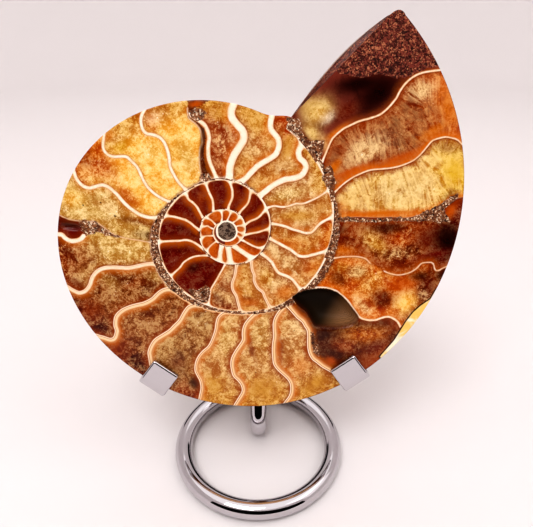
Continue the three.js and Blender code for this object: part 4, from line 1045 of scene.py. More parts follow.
def add_patches(places, chamber, tone, crystal):
    """Lays each patch over the tone and the crystal of its own chamber: a soft spot whose strength
    falls as exp(-1.1 * r^2.8), where r is 1 at the patch's edge."""
    for u, v, length, width, tilt, name, strength, white in PATCHES:
        centre = from_photo([(u, v), (u + 1, v), (u, v - 1)])
        pixel = np.linalg.norm(centre[1:] - centre[0], axis=1)
        turned, _ = on_spiral(centre[:1])
        number = nearest_septum(centre[:1], turned)[0]
        own_chamber = number + (septa[number].measure(centre[:1])[0][0] > 0)
        along, across = along_and_across((places - centre[0]) / pixel, math.radians(tilt))
        squared = (along / (length / 2)) ** 2 + (across / (width / 2)) ** 2
        share = np.where(chamber == own_chamber, strength * np.exp(-1.1 * squared ** 1.4), 0)
        tone += (light(name) - tone) * share[:, None]
        crystal += (white - crystal) * share


def spot_measure(places):
    """How far inside the nearest dark mark each place lies, as a share of the mark's radius."""
    inside = np.full(len(places), -1.0)
    for u, v, across in SPOTS:
        centre, edge = from_photo([(u, v), (u + across, v)])
        inside = np.maximum(inside, 1 - np.hypot(*(places - centre).T) / np.linalg.norm(edge - centre))
    return inside


def read_face(places, centres, face_of):
    """Everything the polished face's finish needs at each corner of each small face, from the walls
    and patches above. Distances are signed, so a line keeps its true place between the corners."""
    turned, _ = on_spiral(centres)
    number = nearest_septum(centres, turned)[face_of]
    whole = np.round((turned - np.arctan2(centres[:, 1], centres[:, 0])) / TAU)
    angle = np.arctan2(places[:, 1], places[:, 0]) + (whole * TAU)[face_of]
    angle += TAU * np.round((turned[face_of] - angle) / TAU)
    reach = np.hypot(places[:, 0], places[:, 1])
    first_turn = turned[face_of] > NOTCH_ANGLE - 0.01
    outer = np.where(first_turn, outline_radius(angle), face_wall(angle)) - reach
    inner = reach - face_wall(angle - TAU)

    # the wall each corner belongs to, and its chamber
    distance = np.zeros(len(places))
    half = np.zeros(len(places))
    along_wall = np.zeros(len(places))
    for i, wall in enumerate(septa):
        chosen = number == i
        distance[chosen], half[chosen], along_wall[chosen] = wall.measure(places[chosen])
    joined_past = np.array([wall.joined_past for wall in septa])[number]
    chamber = number + (distance > 0) - ((distance < 0) & (along_wall > joined_past))

    # the chamber's tones, with the body chamber's stone first, and its crystal
    middle = np.array([light("plum")] + [light(wall.tones[0]) for wall in septa])
    edge = np.array([light("plum")] + [light(wall.tones[1]) for wall in septa])
    out = np.clip(inner / np.maximum(outer + inner, 0.1), 0, 1)
    tone = middle[chamber] + (edge - middle)[chamber] * smoothstep(out, 0.68, 1.0)[:, None]
    crystal = np.array([0.0] + [CRYSTAL.get(wall.tones[0], PLAIN_CRYSTAL) for wall in septa])[chamber]
    add_patches(places, chamber, tone, crystal)

    stone_turned, stone_width = np.array(STONE_WIDTH).T
    glow = np.array([wall.glow for wall in septa])[number]
    return {
        "tone": np.concatenate([tone, crystal[:, None]], 1),
        "septum": distance,
        "septum_half": half,
        "along": along_wall,
        "white": np.array([wall.white for wall in septa])[number],
        "apricot": np.array([wall.apricot for wall in septa])[number],
        "glow": glow * np.where(chamber == 0, BODY_CHAMBER_GLOW, 1.0),
        "streaked": np.isin(chamber, STREAKED) * 1.0,
        "outer": outer,
        "middle": reach,
        "first_turn": first_turn * 1.0,
        "seam": np.interp(np.degrees(angle), stone_turned + 360, stone_width) - inner,
        "seam_line": np.interp(np.degrees(angle), *np.array(SEAM_LINE).T),
        "stone": np.maximum.reduce([inside_distance(places, outline) for outline in STONE_PLACES]),
        "mouth_stone": (places[:, 1] > MOUTH_STONE_UP) * 1.0,
        "lens": inside_distance(places, RIM_LENS),
        "spot": spot_measure(places),
        "hollow": hollow_inside(places),
        "hollow_across": (places - HOLLOW_MIDDLE) @ HOLLOW_LIT,
    }


# Finishes


# The scales of the patterns, in waves or cells to the metre
CLOUD_SCALE = 230.0
CLUSTER_SCALE = 440.0
FINE_SCALE = 1200.0
VEIN_SCALE = 420.0
# the painted glints on the crystals
GLINT_SCALE = 1000.0
WOBBLE_SCALE = 900.0
FACE_GRAIN_SCALE = 3300.0
BACK_GRAIN_SCALE = 3000.0
SMEAR_SCALE = 160.0

# The plain colours, as linear red, green and blue, and how the chrome's roughness runs
CHROME_BASE = (0.6, 0.575, 0.595)
CHROME_ROUGHNESS = (0.035, 0.11)
PAPER_BASE = (0.755, 0.725, 0.725)
CARD_BASE = (0.006, 0.005, 0.005)

# Crystals: how the chamber's tone darkens in the gaps and pales where it is lit, and between which
# values of each pattern it does so
DEEP_GAMMA = 2.0
PALE_GAMMA = 0.5
CLOUD_GAPS = (0.36, 0.52)
LIGHT_GAPS = (0.4, 0.51)
CRYSTALS_LIT = (0.47, 0.59)
STREAKS_LIT = (0.3, 0.72)

# Distances in millimetres over which one look of the cut face passes into the next
HALO = (-0.3, 2.0)
DARK_LINE = (0.05, 0.35)
SEAM_SHADOW = (0.0, 0.8)
RIM_SHADOW = (0.03, 0.35)
LENS_SHADOW = (-0.45, -0.05)
LENS_EDGE = (0.0, 0.2)
SEAM_EDGE = (-0.05, 0.1)
STONE_EDGE = (-0.1, 0.25)
WALL_EDGE = (-0.06, 0.1)
CELL_EDGE = (-0.04, 0.12)
INNER_EDGE_LINE = (0.0, 0.2)
APRICOT_YOUNGER_EDGE = (-0.1, 0.75)
APRICOT_OLDER_EDGE = (-0.02, 0.08)
WALL_AT_STONE = (0.1, 0.5)
WALL_AT_LENS = (-0.5, -0.3)
WALL_SHADE = (-0.7, -0.15)
WALL_TAN_EDGE = (-0.26, 0.06)
DOUBLE_LINE_IN = 0.34
DOUBLE_LINE = (0.03, 0.13)
RIDGE_IN = 0.12
RIDGE = (0.05, 0.16)
MARK_EDGE = (0.0, 0.5)
# The painted highlight on the hollow's lit side, across it from its dark side
HOLLOW_PAINTED_LIGHT = (0.5, 7.0)
HOLLOW_SHADOW = (0.0, 0.8)
HOLLOW_MATT = (0.0, 0.4)
HOLLOW_SKIN = (-0.05, 0.15)
DISC_RING_EDGE = 0.15
DISC_EDGE = (DISC_RADIUS - 0.1, DISC_RADIUS + 0.05)

# A chamber's corners: the wall between turns stands this far from its own line, and the corners
# are rounded by this much
OUTER_CORNER_INSET = 0.3
OUTER_CORNER_ROUNDING = 1.9
INNER_CORNER_INSET = 0.28
INNER_CORNER_ROUNDING = 1.1
# Added to the distance from the rim in the outer turn, so that no wall is drawn along the rim
NO_CORNER = 50.0


class Tree:
    """Short ways to add nodes to one material or group, and to join them."""

    def __init__(self, tree):
        self.tree = tree

    def join(self, value, socket):
        if isinstance(value, bpy.types.NodeSocket):
            self.tree.links.new(value, socket)
        else:
            socket.default_value = value

    def add(self, kind, inputs=None, **settings):
        node = self.tree.nodes.new(kind)
        for name, value in settings.items():
            setattr(node, name, value)
        for name, value in (inputs or {}).items():
            self.join(value, node.inputs[name])
        return node

    def math(self, operation, *values):
        return self.add("ShaderNodeMath", dict(enumerate(values)), operation=operation).outputs[0]

    def times(self, first, second):
        return self.math("MULTIPLY", first, second)

    def plus(self, first, second):
        return self.math("ADD", first, second)

    def minus(self, first, second):
        return self.math("SUBTRACT", first, second)

    def most(self, first, second):
        return self.math("MAXIMUM", first, second)

    def least(self, first, second):
        return self.math("MINIMUM", first, second)

    def smooth_least(self, first, second, rounding):
        """The lesser of two values, with the change from one to the other rounded."""
        return self.math("SMOOTH_MIN", first, second, rounding)

    def size(self, value):
        """A value without its sign."""
        return self.math("ABSOLUTE", value)

    def ramp(self, value, low, high, start=0.0, end=1.0):
        """Runs smoothly from start at low to end at high."""
        inputs = {"Value": value, "From Min": low, "From Max": high, "To Min": start, "To Max": end}
        return self.add("ShaderNodeMapRange", inputs, interpolation_type="SMOOTHSTEP").outputs["Result"]

    def mix(self, share, first, second):
        """One colour over another, by share. The colours' sockets are the node's 7th and 8th."""
        node = self.add("ShaderNodeMix", data_type="RGBA", clamp_result=True)
        self.join(share, node.inputs[0])
        self.join(first, node.inputs[6])
        self.join(second, node.inputs[7])
        return node.outputs[2]

    def tone(self, name, share, first):
        """Mixes a named tone over a colour."""
        return self.mix(share, first, solid(name))

    def gamma(self, colour, power):
        return self.add("ShaderNodeGamma", {"Color": colour, "Gamma": power}).outputs[0]

    def noise(self, vector, scale, detail=3.0, roughness=0.55, distortion=0.0):
        inputs = {"Vector": vector, "Scale": scale, "Detail": detail, "Roughness": roughness,
                  "Distortion": distortion}
        return self.add("ShaderNodeTexNoise", inputs).outputs["Fac"]

    def cells(self, vector, scale):
        return self.add("ShaderNodeTexVoronoi", {"Vector": vector, "Scale": scale}).outputs

    def vector(self, x, y, z):
        return self.add("ShaderNodeCombineXYZ", {"X": x, "Y": y, "Z": z}).outputs[0]

    def place(self):
        return self.add("ShaderNodeTexCoord").outputs["Object"]

    def read(self, name, output="Fac"):
        return self.add("ShaderNodeAttribute", attribute_name=name).outputs[output]

    def bump(self, shader, height, strength, distance):
        node = self.add("ShaderNodeBump", {"Strength": strength, "Distance": distance, "Height": height})
        self.join(node.outputs["Normal"], shader.inputs["Normal"])


def new_finish(name):
    """A new material with its own tree and its Principled shader."""
    material = bpy.data.materials.new(name)
    material.use_nodes = True
    return material, Tree(material.node_tree), material.node_tree.nodes["Principled BSDF"]


def new_group(name, inputs, outputs):
    """An effect as a group: inputs and outputs are pairs of a name and a kind of socket."""
    group = bpy.data.node_groups.new(name, "ShaderNodeTree")
    for socket_name, kind in inputs:
        group.interface.new_socket(name=socket_name, in_out="INPUT", socket_type="NodeSocket" + kind)
    for socket_name, kind in outputs:
        group.interface.new_socket(name=socket_name, in_out="OUTPUT", socket_type="NodeSocket" + kind)
    tree = Tree(group)
    start = tree.add("NodeGroupInput")
    end = tree.add("NodeGroupOutput")
    return group, tree, start.outputs, end.inputs


def grain_group():
    """Brown stone: fine grains of several tones, a few of them bright, and small dark pits, with
    their height."""
    group, tree, given, result = new_group(
        "stone_grain", [("Vector", "Vector"), ("Scale", "Float")],
        [("Shade", "Float"), ("Dark", "Float"), ("Bright", "Float"), ("Height", "Float")])
    vector, scale = given["Vector"], given["Scale"]
    grains = tree.add("ShaderNodeSeparateColor", {"Color": tree.cells(vector, scale)["Color"]}).outputs
    broad = tree.noise(vector, tree.times(scale, 0.22))
    pits = tree.noise(vector, tree.times(scale, 0.45), 2.0)
    shade = tree.plus(tree.times(grains["Red"], 0.35), tree.times(broad, 0.65))
    tree.join(shade, result["Shade"])
    bright = tree.times(tree.ramp(grains["Green"], 0.66, 0.9), tree.ramp(broad, 0.36, 0.56))
    tree.join(bright, result["Bright"])
    tree.join(tree.ramp(pits, 0.56, 0.64), result["Dark"])
    tree.join(tree.minus(tree.times(shade, 0.5), tree.ramp(pits, 0.56, 0.68)), result["Height"])
    return group


def crystal_group():
    """Clear calcite seen in section. Broad clouds, clusters and fine grain run every way; streaks run
    out from the wall the crystals grew on, so they are drawn along it and stretched away from it.
    Small painted glints sit on the brightest clusters."""
    given_kinds = [("Vector", "Vector"), ("Along", "Float"), ("Away", "Float")]
    patterns = ("Light", "Streak", "Cloud", "Vein", "Glint")
    result_kinds = [(pattern, "Float") for pattern in patterns]
    group, tree, given, result = new_group("calcite", given_kinds, result_kinds)
    vector = given["Vector"]
    cloud = tree.noise(vector, CLOUD_SCALE, 3.0, 0.6, 0.6)
    cluster = tree.noise(vector, CLUSTER_SCALE, 5.0, 0.66, 0.7)
    fine = tree.noise(vector, FINE_SCALE, 3.0, 0.6, 1.6)
    tree.join(cloud, result["Cloud"])
    broad = tree.plus(tree.times(cloud, 0.18), tree.times(cluster, 0.44))
    tree.join(tree.plus(broad, tree.times(fine, 0.38)), result["Light"])
    grown = tree.vector(given["Along"], tree.times(given["Away"], 0.13), cloud)
    tree.join(tree.noise(grown, 1.5, 1.5, 0.6, 0.1), result["Streak"])
    crease = tree.size(tree.minus(tree.noise(vector, VEIN_SCALE, 4.0, 0.6, 1.2), 0.48))
    vein = tree.times(tree.ramp(crease, 0.0, 0.022, 1.0, 0.0), tree.ramp(fine, 0.4, 0.6))
    tree.join(vein, result["Vein"])
    # painted glints: small bright points at the hearts of cells, on the brightest clusters
    hearts = tree.ramp(tree.cells(vector, GLINT_SCALE)["Distance"], 0.08, 0.22, 1.0, 0.0)
    tree.join(tree.times(hearts, tree.ramp(cluster, 0.55, 0.61)), result["Glint"])
    return group


STONE_GRAIN = grain_group()
CALCITE = crystal_group()


def placed(tree, group, **inputs):
    """A group in a material, with its own values."""
    return tree.add("ShaderNodeGroup", inputs, node_tree=group).outputs


def stone_colour(tree, grain, ground, middle, speck):
    """Brown stone: a ground tone clouded by a middle one, bright specks and dark pits."""
    colour = tree.mix(tree.ramp(grain["Shade"], 0.36, 0.62), solid(ground), solid(middle))
    colour = tree.tone("night", tree.times(grain["Dark"], 0.85), colour)
    return tree.tone(speck, tree.times(grain["Bright"], 0.8), colour)


def measures_of_face(tree):
    """What the parts of the polished face's finish share: the patterns, and the distances that were
    written on the mesh, some of them made uneven by a small wobble."""
    place = tree.place()
    septum = tree.read("septum")
    half = tree.read("septum_half")
    face = SimpleNamespace(place=place, septum=septum)
    face.calcite = placed(tree, CALCITE, Vector=place, Along=tree.read("along"), Away=tree.size(septum))
    face.grain = placed(tree, STONE_GRAIN, Vector=place, Scale=FACE_GRAIN_SCALE)
    face.wobble = tree.times(tree.minus(tree.noise(place, WOBBLE_SCALE), 0.5), 0.5)
    face.older = tree.minus(septum, half)
    face.younger = tree.minus(tree.times(septum, -1.0), half)
    face.edge = tree.most(face.older, face.younger)
    face.outer = tree.read("outer")
    face.first = tree.read("first_turn")
    face.glow = tree.read("glow")
    face.lens = tree.read("lens")
    face.seam = tree.plus(tree.read("seam"), tree.times(face.wobble, 2.5))
    face.from_seam = tree.times(face.seam, -1.0)
    face.in_seam = tree.ramp(face.seam, *SEAM_EDGE)
    face.patch = tree.plus(tree.read("stone"), tree.times(face.wobble, 3.0))
    face.stone = tree.most(face.in_seam, tree.ramp(face.patch, *STONE_EDGE))
    return face


def crystals(tree, face):
    """The chamber's own tone, deep in the gaps between the crystals and pale where they catch the
    light, with fine dark veins, or streaks where the chamber has them, and single painted glints."""
    calcite = face.calcite
    tone = tree.read("tone", "Color")
    crystal = tree.read("tone", "Alpha")
    streaked = tree.read("streaked")
    strength = tree.ramp(crystal, 0.0, 0.6, 0.35, 1.0)
    deep = tree.gamma(tone, DEEP_GAMMA)
    pale = tree.tone("milk", 0.5, tree.gamma(tone, PALE_GAMMA))
    colour = tone
    for pattern, gap, most in (("Cloud", CLOUD_GAPS, 0.6), ("Light", LIGHT_GAPS, 0.85)):
        colour = tree.mix(tree.times(tree.ramp(calcite[pattern], *gap, most, 0.0), strength), colour, deep)
    veins = tree.times(calcite["Vein"], tree.times(strength, 0.6))
    colour = tree.mix(tree.times(veins, tree.minus(1.0, streaked)), colour, deep)
    colour = tree.mix(tree.times(tree.ramp(calcite["Light"], *CRYSTALS_LIT), crystal), colour, pale)
    streaks = tree.times(tree.ramp(calcite["Streak"], *STREAKS_LIT), streaked)
    colour = tree.mix(tree.times(streaks, crystal), colour, pale)
    # painted glints in snow white
    return tree.tone("snow", tree.times(calcite["Glint"], tree.times(crystal, 0.8)), colour)


def beside_walls(tree, face, colour):
    """Beside the walls: a halo of rust on the older side and russet on the younger, a thin dark line
    on the older side, and shadows along the shell line and the outer turn's rim."""
    is_older = tree.math("GREATER_THAN", face.septum, 0.0)
    drift = tree.times(tree.minus(face.calcite["Light"], 0.5), 5.0)
    halo = tree.times(tree.ramp(tree.plus(face.edge, drift), *HALO, 0.9, 0.0), face.glow)
    colour = tree.mix(halo, colour, tree.mix(is_older, solid("russet"), solid("rust")))
    dark_line = tree.times(tree.ramp(face.older, *DARK_LINE, 0.8, 0.0), is_older)
    colour = tree.tone("ember", tree.times(dark_line, tree.ramp(face.glow, 0.0, 1.0, 0.15, 1.0)), colour)
    colour = tree.tone("ember", tree.ramp(face.from_seam, *SEAM_SHADOW, 0.6, 0.0), colour)
    rim = tree.times(tree.ramp(face.outer, *RIM_SHADOW, 0.5, 0.0), tree.times(face.first, face.glow))
    return tree.tone("ember", rim, colour)


def rim_lens(tree, face, colour):
    """The clear lens of stone outside the outer turn, low on the right, behind its dark line."""
    colour = tree.tone("night", tree.ramp(face.lens, *LENS_SHADOW), colour)
    clear = tree.tone("sunny", tree.ramp(face.calcite["Cloud"], 0.4, 0.62, 1.0, 0.15), solid("snow"))
    return tree.mix(tree.ramp(face.lens, *LENS_EDGE), colour, clear)


def brown_stone(tree, face, colour):
    """Brown stone between the turns and in its patches, and plum stone high up at the mouth."""
    plum = stone_colour(tree, face.grain, "plum_dark", "plum", "blush")
    brown = stone_colour(tree, face.grain, "earth", "sand", "cream")
    return tree.mix(face.stone, colour, tree.mix(tree.read("mouth_stone"), brown, plum))


def cream_walls(tree, face, colour):
    """The cream walls. Each chamber is a cell with rounded corners: the smooth least of its distances
    to the wall beside it and to the turn's own wall. The walls are cream with a shaded edge, and the
    apricot ones fade on their younger side and have a rust line and a pale ridge on the older."""
    white = tree.read("white")
    apricot = tree.read("apricot")
    rough = tree.times(face.wobble, 0.35)
    from_rim = tree.plus(tree.minus(face.outer, OUTER_CORNER_INSET), tree.times(face.first, NO_CORNER))
    cell = tree.smooth_least(face.edge, from_rim, OUTER_CORNER_ROUNDING)
    from_shell_line = tree.minus(face.from_seam, INNER_CORNER_INSET)
    inner_cell = tree.smooth_least(face.edge, from_shell_line, INNER_CORNER_ROUNDING)

    # where there is wall
    body = tree.times(tree.ramp(tree.plus(face.edge, rough), *WALL_EDGE, 1.0, 0.0), white)
    faded = tree.times(tree.ramp(face.younger, *APRICOT_YOUNGER_EDGE, 1.0, 0.0),
                       tree.ramp(face.older, *APRICOT_OLDER_EDGE, 1.0, 0.0))
    body = tree.most(body, tree.times(faded, apricot))
    cell_line = tree.times(tree.ramp(tree.plus(cell, rough), *CELL_EDGE, 1.0, 0.0),
                           tree.most(white, tree.minus(1.0, face.first)))
    inner_line = tree.times(tree.ramp(tree.plus(inner_cell, rough), *INNER_EDGE_LINE, 1.0, 0.0), face.first)
    inner_line = tree.times(inner_line, tree.read("seam_line"))
    body = tree.most(body, tree.most(cell_line, inner_line))
    body = tree.times(body, tree.minus(1.0, face.in_seam))
    body = tree.times(body, tree.ramp(face.patch, *WALL_AT_STONE, 1.0, 0.0))
    body = tree.times(body, tree.ramp(face.lens, *WALL_AT_LENS, 1.0, 0.0))

    # its colour
    cream = tree.mix(apricot, solid("wall_white"), solid("wall_apricot"))
    deepest = tree.least(tree.least(cell, inner_cell), face.edge)
    uneven = tree.ramp(face.calcite["Light"], 0.42, 0.58)
    shade = tree.times(tree.ramp(deepest, *WALL_SHADE, 0.1, 0.75), uneven)
    cream = tree.tone("wall_apricot", shade, cream)
    cream = tree.tone("wall_tan", tree.ramp(tree.plus(deepest, rough), *WALL_TAN_EDGE), cream)
    for tone, place, span, most in (("rust", DOUBLE_LINE_IN, DOUBLE_LINE, 0.7),
                                    ("wall_white", RIDGE_IN, RIDGE, 0.8)):
        line = tree.ramp(tree.size(tree.plus(face.older, place)), *span, most, 0.0)
        cream = tree.tone(tone, tree.times(line, apricot), cream)
    return tree.mix(body, colour, cream)


def dark_marks(tree, face, colour):
    """Small dark marks with uneven edges."""
    marked = tree.plus(tree.read("spot"), tree.times(face.wobble, 2.0))
    return tree.tone("night", tree.ramp(marked, *MARK_EDGE, 0.0, 0.9), colour)


def hollow_colour(tree, face, colour):
    """The hollow: dark olive, with a painted highlight of lighter brown and fine growth bands on its
    lower right side, where light falls on its wall, and painted shade of umber just inside its edge.
    """
    hollow = tree.read("hollow")
    # painted highlight: the side of the hollow that faces the light is painted lighter brown
    painted_lit_side = tree.ramp(tree.read("hollow_across"), *HOLLOW_PAINTED_LIGHT)
    inside = tree.mix(painted_lit_side, solid("moss"), solid("rose_brown"))
    bands = tree.math("SINE", tree.times(tree.plus(hollow, tree.times(face.wobble, 1.5)), 16.0))
    bands = tree.times(tree.ramp(bands, 0.0, 1.0), painted_lit_side)
    inside = tree.tone("moss", tree.times(bands, 0.35), inside)
    inside = tree.tone("umber", tree.ramp(hollow, *HOLLOW_SHADOW, 0.6, 0.0), inside)
    return tree.mix(tree.ramp(hollow, *HOLLOW_SKIN), colour, inside)


def grey_middle(tree, face, colour):
    """The grey stone in the middle of the spiral and the white ring round it."""
    middle = tree.plus(tree.read("middle"), tree.times(face.wobble, 0.8))
    ring = tree.ramp(middle, DISC_RING, DISC_RING + DISC_RING_EDGE, 1.0, 0.0)
    slate = tree.mix(tree.ramp(face.grain["Shade"], 0.38, 0.62), solid("ash"), solid("slate"))
    return tree.mix(tree.ramp(middle, *DISC_EDGE, 1.0, 0.0), tree.tone("wall_white", ring, colour), slate)


def face_finish():
    """The polished face: its parts laid one over another, with dull stone and a dull hollow."""
    material, tree, shader = new_finish("polished_face")
    face = measures_of_face(tree)
    colour = crystals(tree, face)
    for part in (beside_walls, rim_lens, brown_stone, cream_walls, dark_marks, hollow_colour, grey_middle):
        colour = part(tree, face, colour)
    tree.join(colour, shader.inputs["Base Color"])
    dull = tree.most(face.stone, tree.ramp(tree.read("hollow"), *HOLLOW_MATT))
    tree.join(tree.plus(0.12, tree.times(dull, 0.4)), shader.inputs["Roughness"])
    tree.bump(shader, tree.times(face.grain["Height"], face.stone), 0.3, 0.0002)
    shader.inputs["Specular IOR Level"].default_value = 0.22
    return material


def read_back(places, centres, face_of):
    """What the finish of the shell's outside needs at each corner: the turn that is seen there, where
    the place lies across that turn, and how many ribs' steps it lies round the spiral."""
    angle = last_turn_angle(np.arctan2(centres[:, 1], centres[:, 0]))
    depths = back_depths(angle, np.hypot(centres[:, 0], centres[:, 1]))
    turn = depths.argmax(0)
    floor = depths.max(0) <= 0
    bearing = np.arctan2(places[:, 1], places[:, 0])
    turned = bearing + TAU * np.round((angle[face_of] - bearing) / TAU) - TAU * turn[face_of]
    share = np.hypot(places[:, 0], places[:, 1]) / outline_radius(turned)
    return {
        "across_turn": np.clip(share, 0, 2),
        "ribs": RIBS_PER_TURN * (turned + rib_sweep(share)) / TAU,
        "chambered": 1 - smoothstep(turned, SUTURES_END - 0.1, SUTURES_END + 0.05),
        "navel": floor[face_of] * 1.0,
    }


def suture_lines(tree, share, ribs, cloud):
    """The leafy dark line of each chamber's wall: a line across the turn, waved three times over."""
    lobes = tree.times(tree.math("SINE", tree.times(share, SUTURE_WAVES[0][0])), SUTURE_WAVES[0][1])
    for waves, reach in SUTURE_WAVES[1:]:
        lobes = tree.plus(lobes, tree.times(tree.math("SINE", tree.times(share, waves)), reach))
    line = tree.math("FRACT", tree.plus(tree.plus(ribs, lobes), tree.times(cloud, 0.6)))
    line = tree.size(tree.minus(line, 0.5))
    return tree.times(tree.ramp(line, 0.035, 0.06, 0.9, 0.0), tree.read("chambered"))


def back_finish():
    """The shell's outside, polished thin: brown and honey bands that follow the ribs, fine growth
    lines, the leafy dark sutures where the chambers' walls meet the shell, patches of cream shell,
    and brown stone in the hollow middle."""
    material, tree, shader = new_finish("shell_back")
    place = tree.place()
    grain = placed(tree, STONE_GRAIN, Vector=place, Scale=BACK_GRAIN_SCALE)
    calcite = placed(tree, CALCITE, Vector=place, Along=0.0, Away=0.0)
    share = tree.read("across_turn")
    ribs = tree.read("ribs")
    cloud = calcite["Cloud"]
    mottle = calcite["Light"]
    colour = tree.mix(tree.ramp(cloud, 0.36, 0.62), solid("umber"), solid("dusk_olive"))
    colour = tree.tone("olive", tree.ramp(mottle, 0.46, 0.6), colour)

    # ribs: lighter along their tops
    shift = tree.times(tree.minus(cloud, 0.5), 0.5)
    wave = tree.math("COSINE", tree.times(tree.plus(ribs, shift), TAU))
    on_flank = tree.times(tree.ramp(share, 0.4, 0.6), tree.ramp(share, 0.9, 0.99, 1.0, 0.0))
    colour = tree.tone("tan", tree.times(tree.ramp(wave, -0.2, 1.0, 0.0, 0.55), on_flank), colour)
    growth = tree.noise(tree.vector(tree.times(ribs, 9.0), share, cloud), 1.0, 2.0)
    colour = tree.tone("umber", tree.ramp(growth, 0.44, 0.34, 0.0, 0.5), colour)

    sutures = suture_lines(tree, share, ribs, cloud)
    colour = tree.tone("night", tree.times(sutures, tree.ramp(share, 0.3, 0.4)), colour)

    # cream shell left in patches, darker stone towards the middle
    left = tree.times(tree.ramp(cloud, 0.56, 0.6), tree.ramp(mottle, 0.5, 0.53))
    colour = tree.tone("blush", tree.times(left, 0.7), colour)
    colour = tree.tone("plum_dark", tree.ramp(share, 0.28, 0.46, 0.75, 0.0), colour)
    colour = tree.mix(tree.read("navel"), colour, stone_colour(tree, grain, "umber", "clay", "sand"))

    # the mouth's broken wall: brown stone, with the shell's pale edge behind it
    wall = tree.read("mouth_wall")
    plum = stone_colour(tree, grain, "plum_dark", "plum", "blush")
    lip = tree.tone("pearl", tree.ramp(wall, 0.45, 0.62), plum)
    colour = tree.mix(tree.ramp(wall, 0.001, 0.01), colour, lip)

    tree.join(colour, shader.inputs["Base Color"])
    rough = tree.plus(0.24, tree.times(tree.ramp(mottle, 0.4, 0.6), 0.14))
    tree.join(rough, shader.inputs["Roughness"])
    shader.inputs["Specular IOR Level"].default_value = 0.35
    height = tree.plus(tree.times(growth, 0.4), tree.times(sutures, -0.5))
    tree.bump(shader, height, 0.25, 0.0003)
    return material


def plain_finish(name, base, **values):
    """A material of one colour, with the shader's other values set on its own sockets."""
    material, tree, shader = new_finish(name)
    shader.inputs["Base Color"].default_value = (*base, 1.0)
    for socket, value in values.items():
        shader.inputs[socket.replace("_", " ")].default_value = value
    return material, tree, shader


def chrome_finish():
    """Polished chrome with the faint uneven shine that handling leaves."""
    material, tree, shader = plain_finish("chrome_plate", CHROME_BASE, Metallic=1.0)
    smear = tree.noise(tree.place(), SMEAR_SCALE, 4.0)
    tree.join(tree.ramp(smear, 0.4, 0.75, *CHROME_ROUGHNESS), shader.inputs["Roughness"])
    return material


def write_attributes(mesh, found, chosen):
    """Writes named values onto the chosen corners of a mesh: a colour and its alpha, or one number."""
    for name, values in found.items():
        is_colour = values.ndim == 2
        layer = mesh.attributes.new(name, "FLOAT_COLOR" if is_colour else "FLOAT", "CORNER")
        whole = np.zeros((len(chosen),) + values.shape[1:], np.float32)
        whole[chosen] = values
        layer.data.foreach_set("color" if is_colour else "value", whole.ravel())


def dress_fossil(piece, grid, flare):
    """Gives the fossil its two finishes, and writes what they read at each corner of each face."""
    mesh = piece.data
    rows, columns, _ = grid.shape
    local = np.concatenate([grid.reshape(-1, 3), grid[0].mean(0)[None], grid[-1].mean(0)[None]])
    row_of = np.concatenate([np.repeat(np.arange(rows), columns), [0, rows]])
    from_rim = BACK_RINGS - 1 - row_of
    in_mouth = np.append(np.tile(flare, rows), [0, 0]) > 0
    on_wall = (from_rim >= 0) & (from_rim < WALL_RINGS) & in_mouth
    wall_share = np.where(on_wall, (from_rim + 0.1) / WALL_RINGS, 0.0)

    corner_point = np.empty(len(mesh.loops), np.int32)
    mesh.loops.foreach_get("vertex_index", corner_point)
    sizes = np.empty(len(mesh.polygons), np.int32)
    mesh.polygons.foreach_get("loop_total", sizes)
    face_of = np.repeat(np.arange(len(sizes)), sizes)
    starts = np.cumsum(sizes) - sizes
    polished = np.minimum.reduceat(row_of[corner_point], starts) >= BACK_RINGS - 1
    mesh.polygons.foreach_set("material_index", np.where(polished, 0, 1).astype(np.int32))

    places = local[corner_point][:, [0, 2]]
    centres = np.add.reduceat(places, starts) / sizes[:, None]
    for side, read in ((polished, read_face), (~polished, read_back)):
        chosen = side[face_of]
        number = (np.cumsum(side) - 1)[face_of[chosen]]
        write_attributes(mesh, read(places[chosen], centres[side], number), chosen)
    write_attributes(mesh, {"mouth_wall": wall_share[corner_point]}, np.full(len(places), True))
    mesh.materials.append(face_finish())
    mesh.materials.append(back_finish())


# The pieces

chrome = chrome_finish()
stand_pieces = {
    "ring_base": ring_base(),
    "stem": stem(),
    "clip_left": clip("clip_left_chrome", LEFT_CLIP_ANGLE, FIRST_STRIP_DEPTH, LEFT_HOOK_DEPTH),
    "clip_right": clip("clip_right_chrome", RIGHT_CLIP_ANGLE, FIRST_STRIP_DEPTH + STRIP_THICKNESS + GAP,
                       RIGHT_HOOK_DEPTH),
    "rivet": rivet(),
}
for node, piece in stand_pieces.items():
    piece.data.materials.append(chrome)
    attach(piece, "root")
    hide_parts(node)

fossil_grid, mouth_flare = fossil_points()
ammonite = fossil(fossil_grid)
dress_fossil(ammonite, fossil_grid, mouth_flare)
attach(ammonite, "root")
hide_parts("ammonite_half")

# The camera, the floor and the light

camera_data = bpy.data.cameras.new("camera")
camera_data.sensor_width = SENSOR
camera_data.lens = PHOTO_FOCAL / PHOTO_WIDTH * SENSOR
camera_data.clip_start = 0.005
camera = bpy.data.objects.new("camera", camera_data)
camera.location = CAMERA_PLACE * MM
camera.rotation_euler = (CAMERA_PITCH, 0, 0)
bpy.context.scene.collection.objects.link(camera)
bpy.context.scene.camera = camera


# The floor, in millimetres: its innermost ring, how far out it is level, the radius of the bend to
# its wall, and the wall's height
BOWL_HUB = 0.5
BOWL_LEVEL = 800.0
BOWL_ROUNDING = 500.0
BOWL_TOP = 1500.0
BOWL_BEND_STEPS = 28
BOWL_SIDES = 96


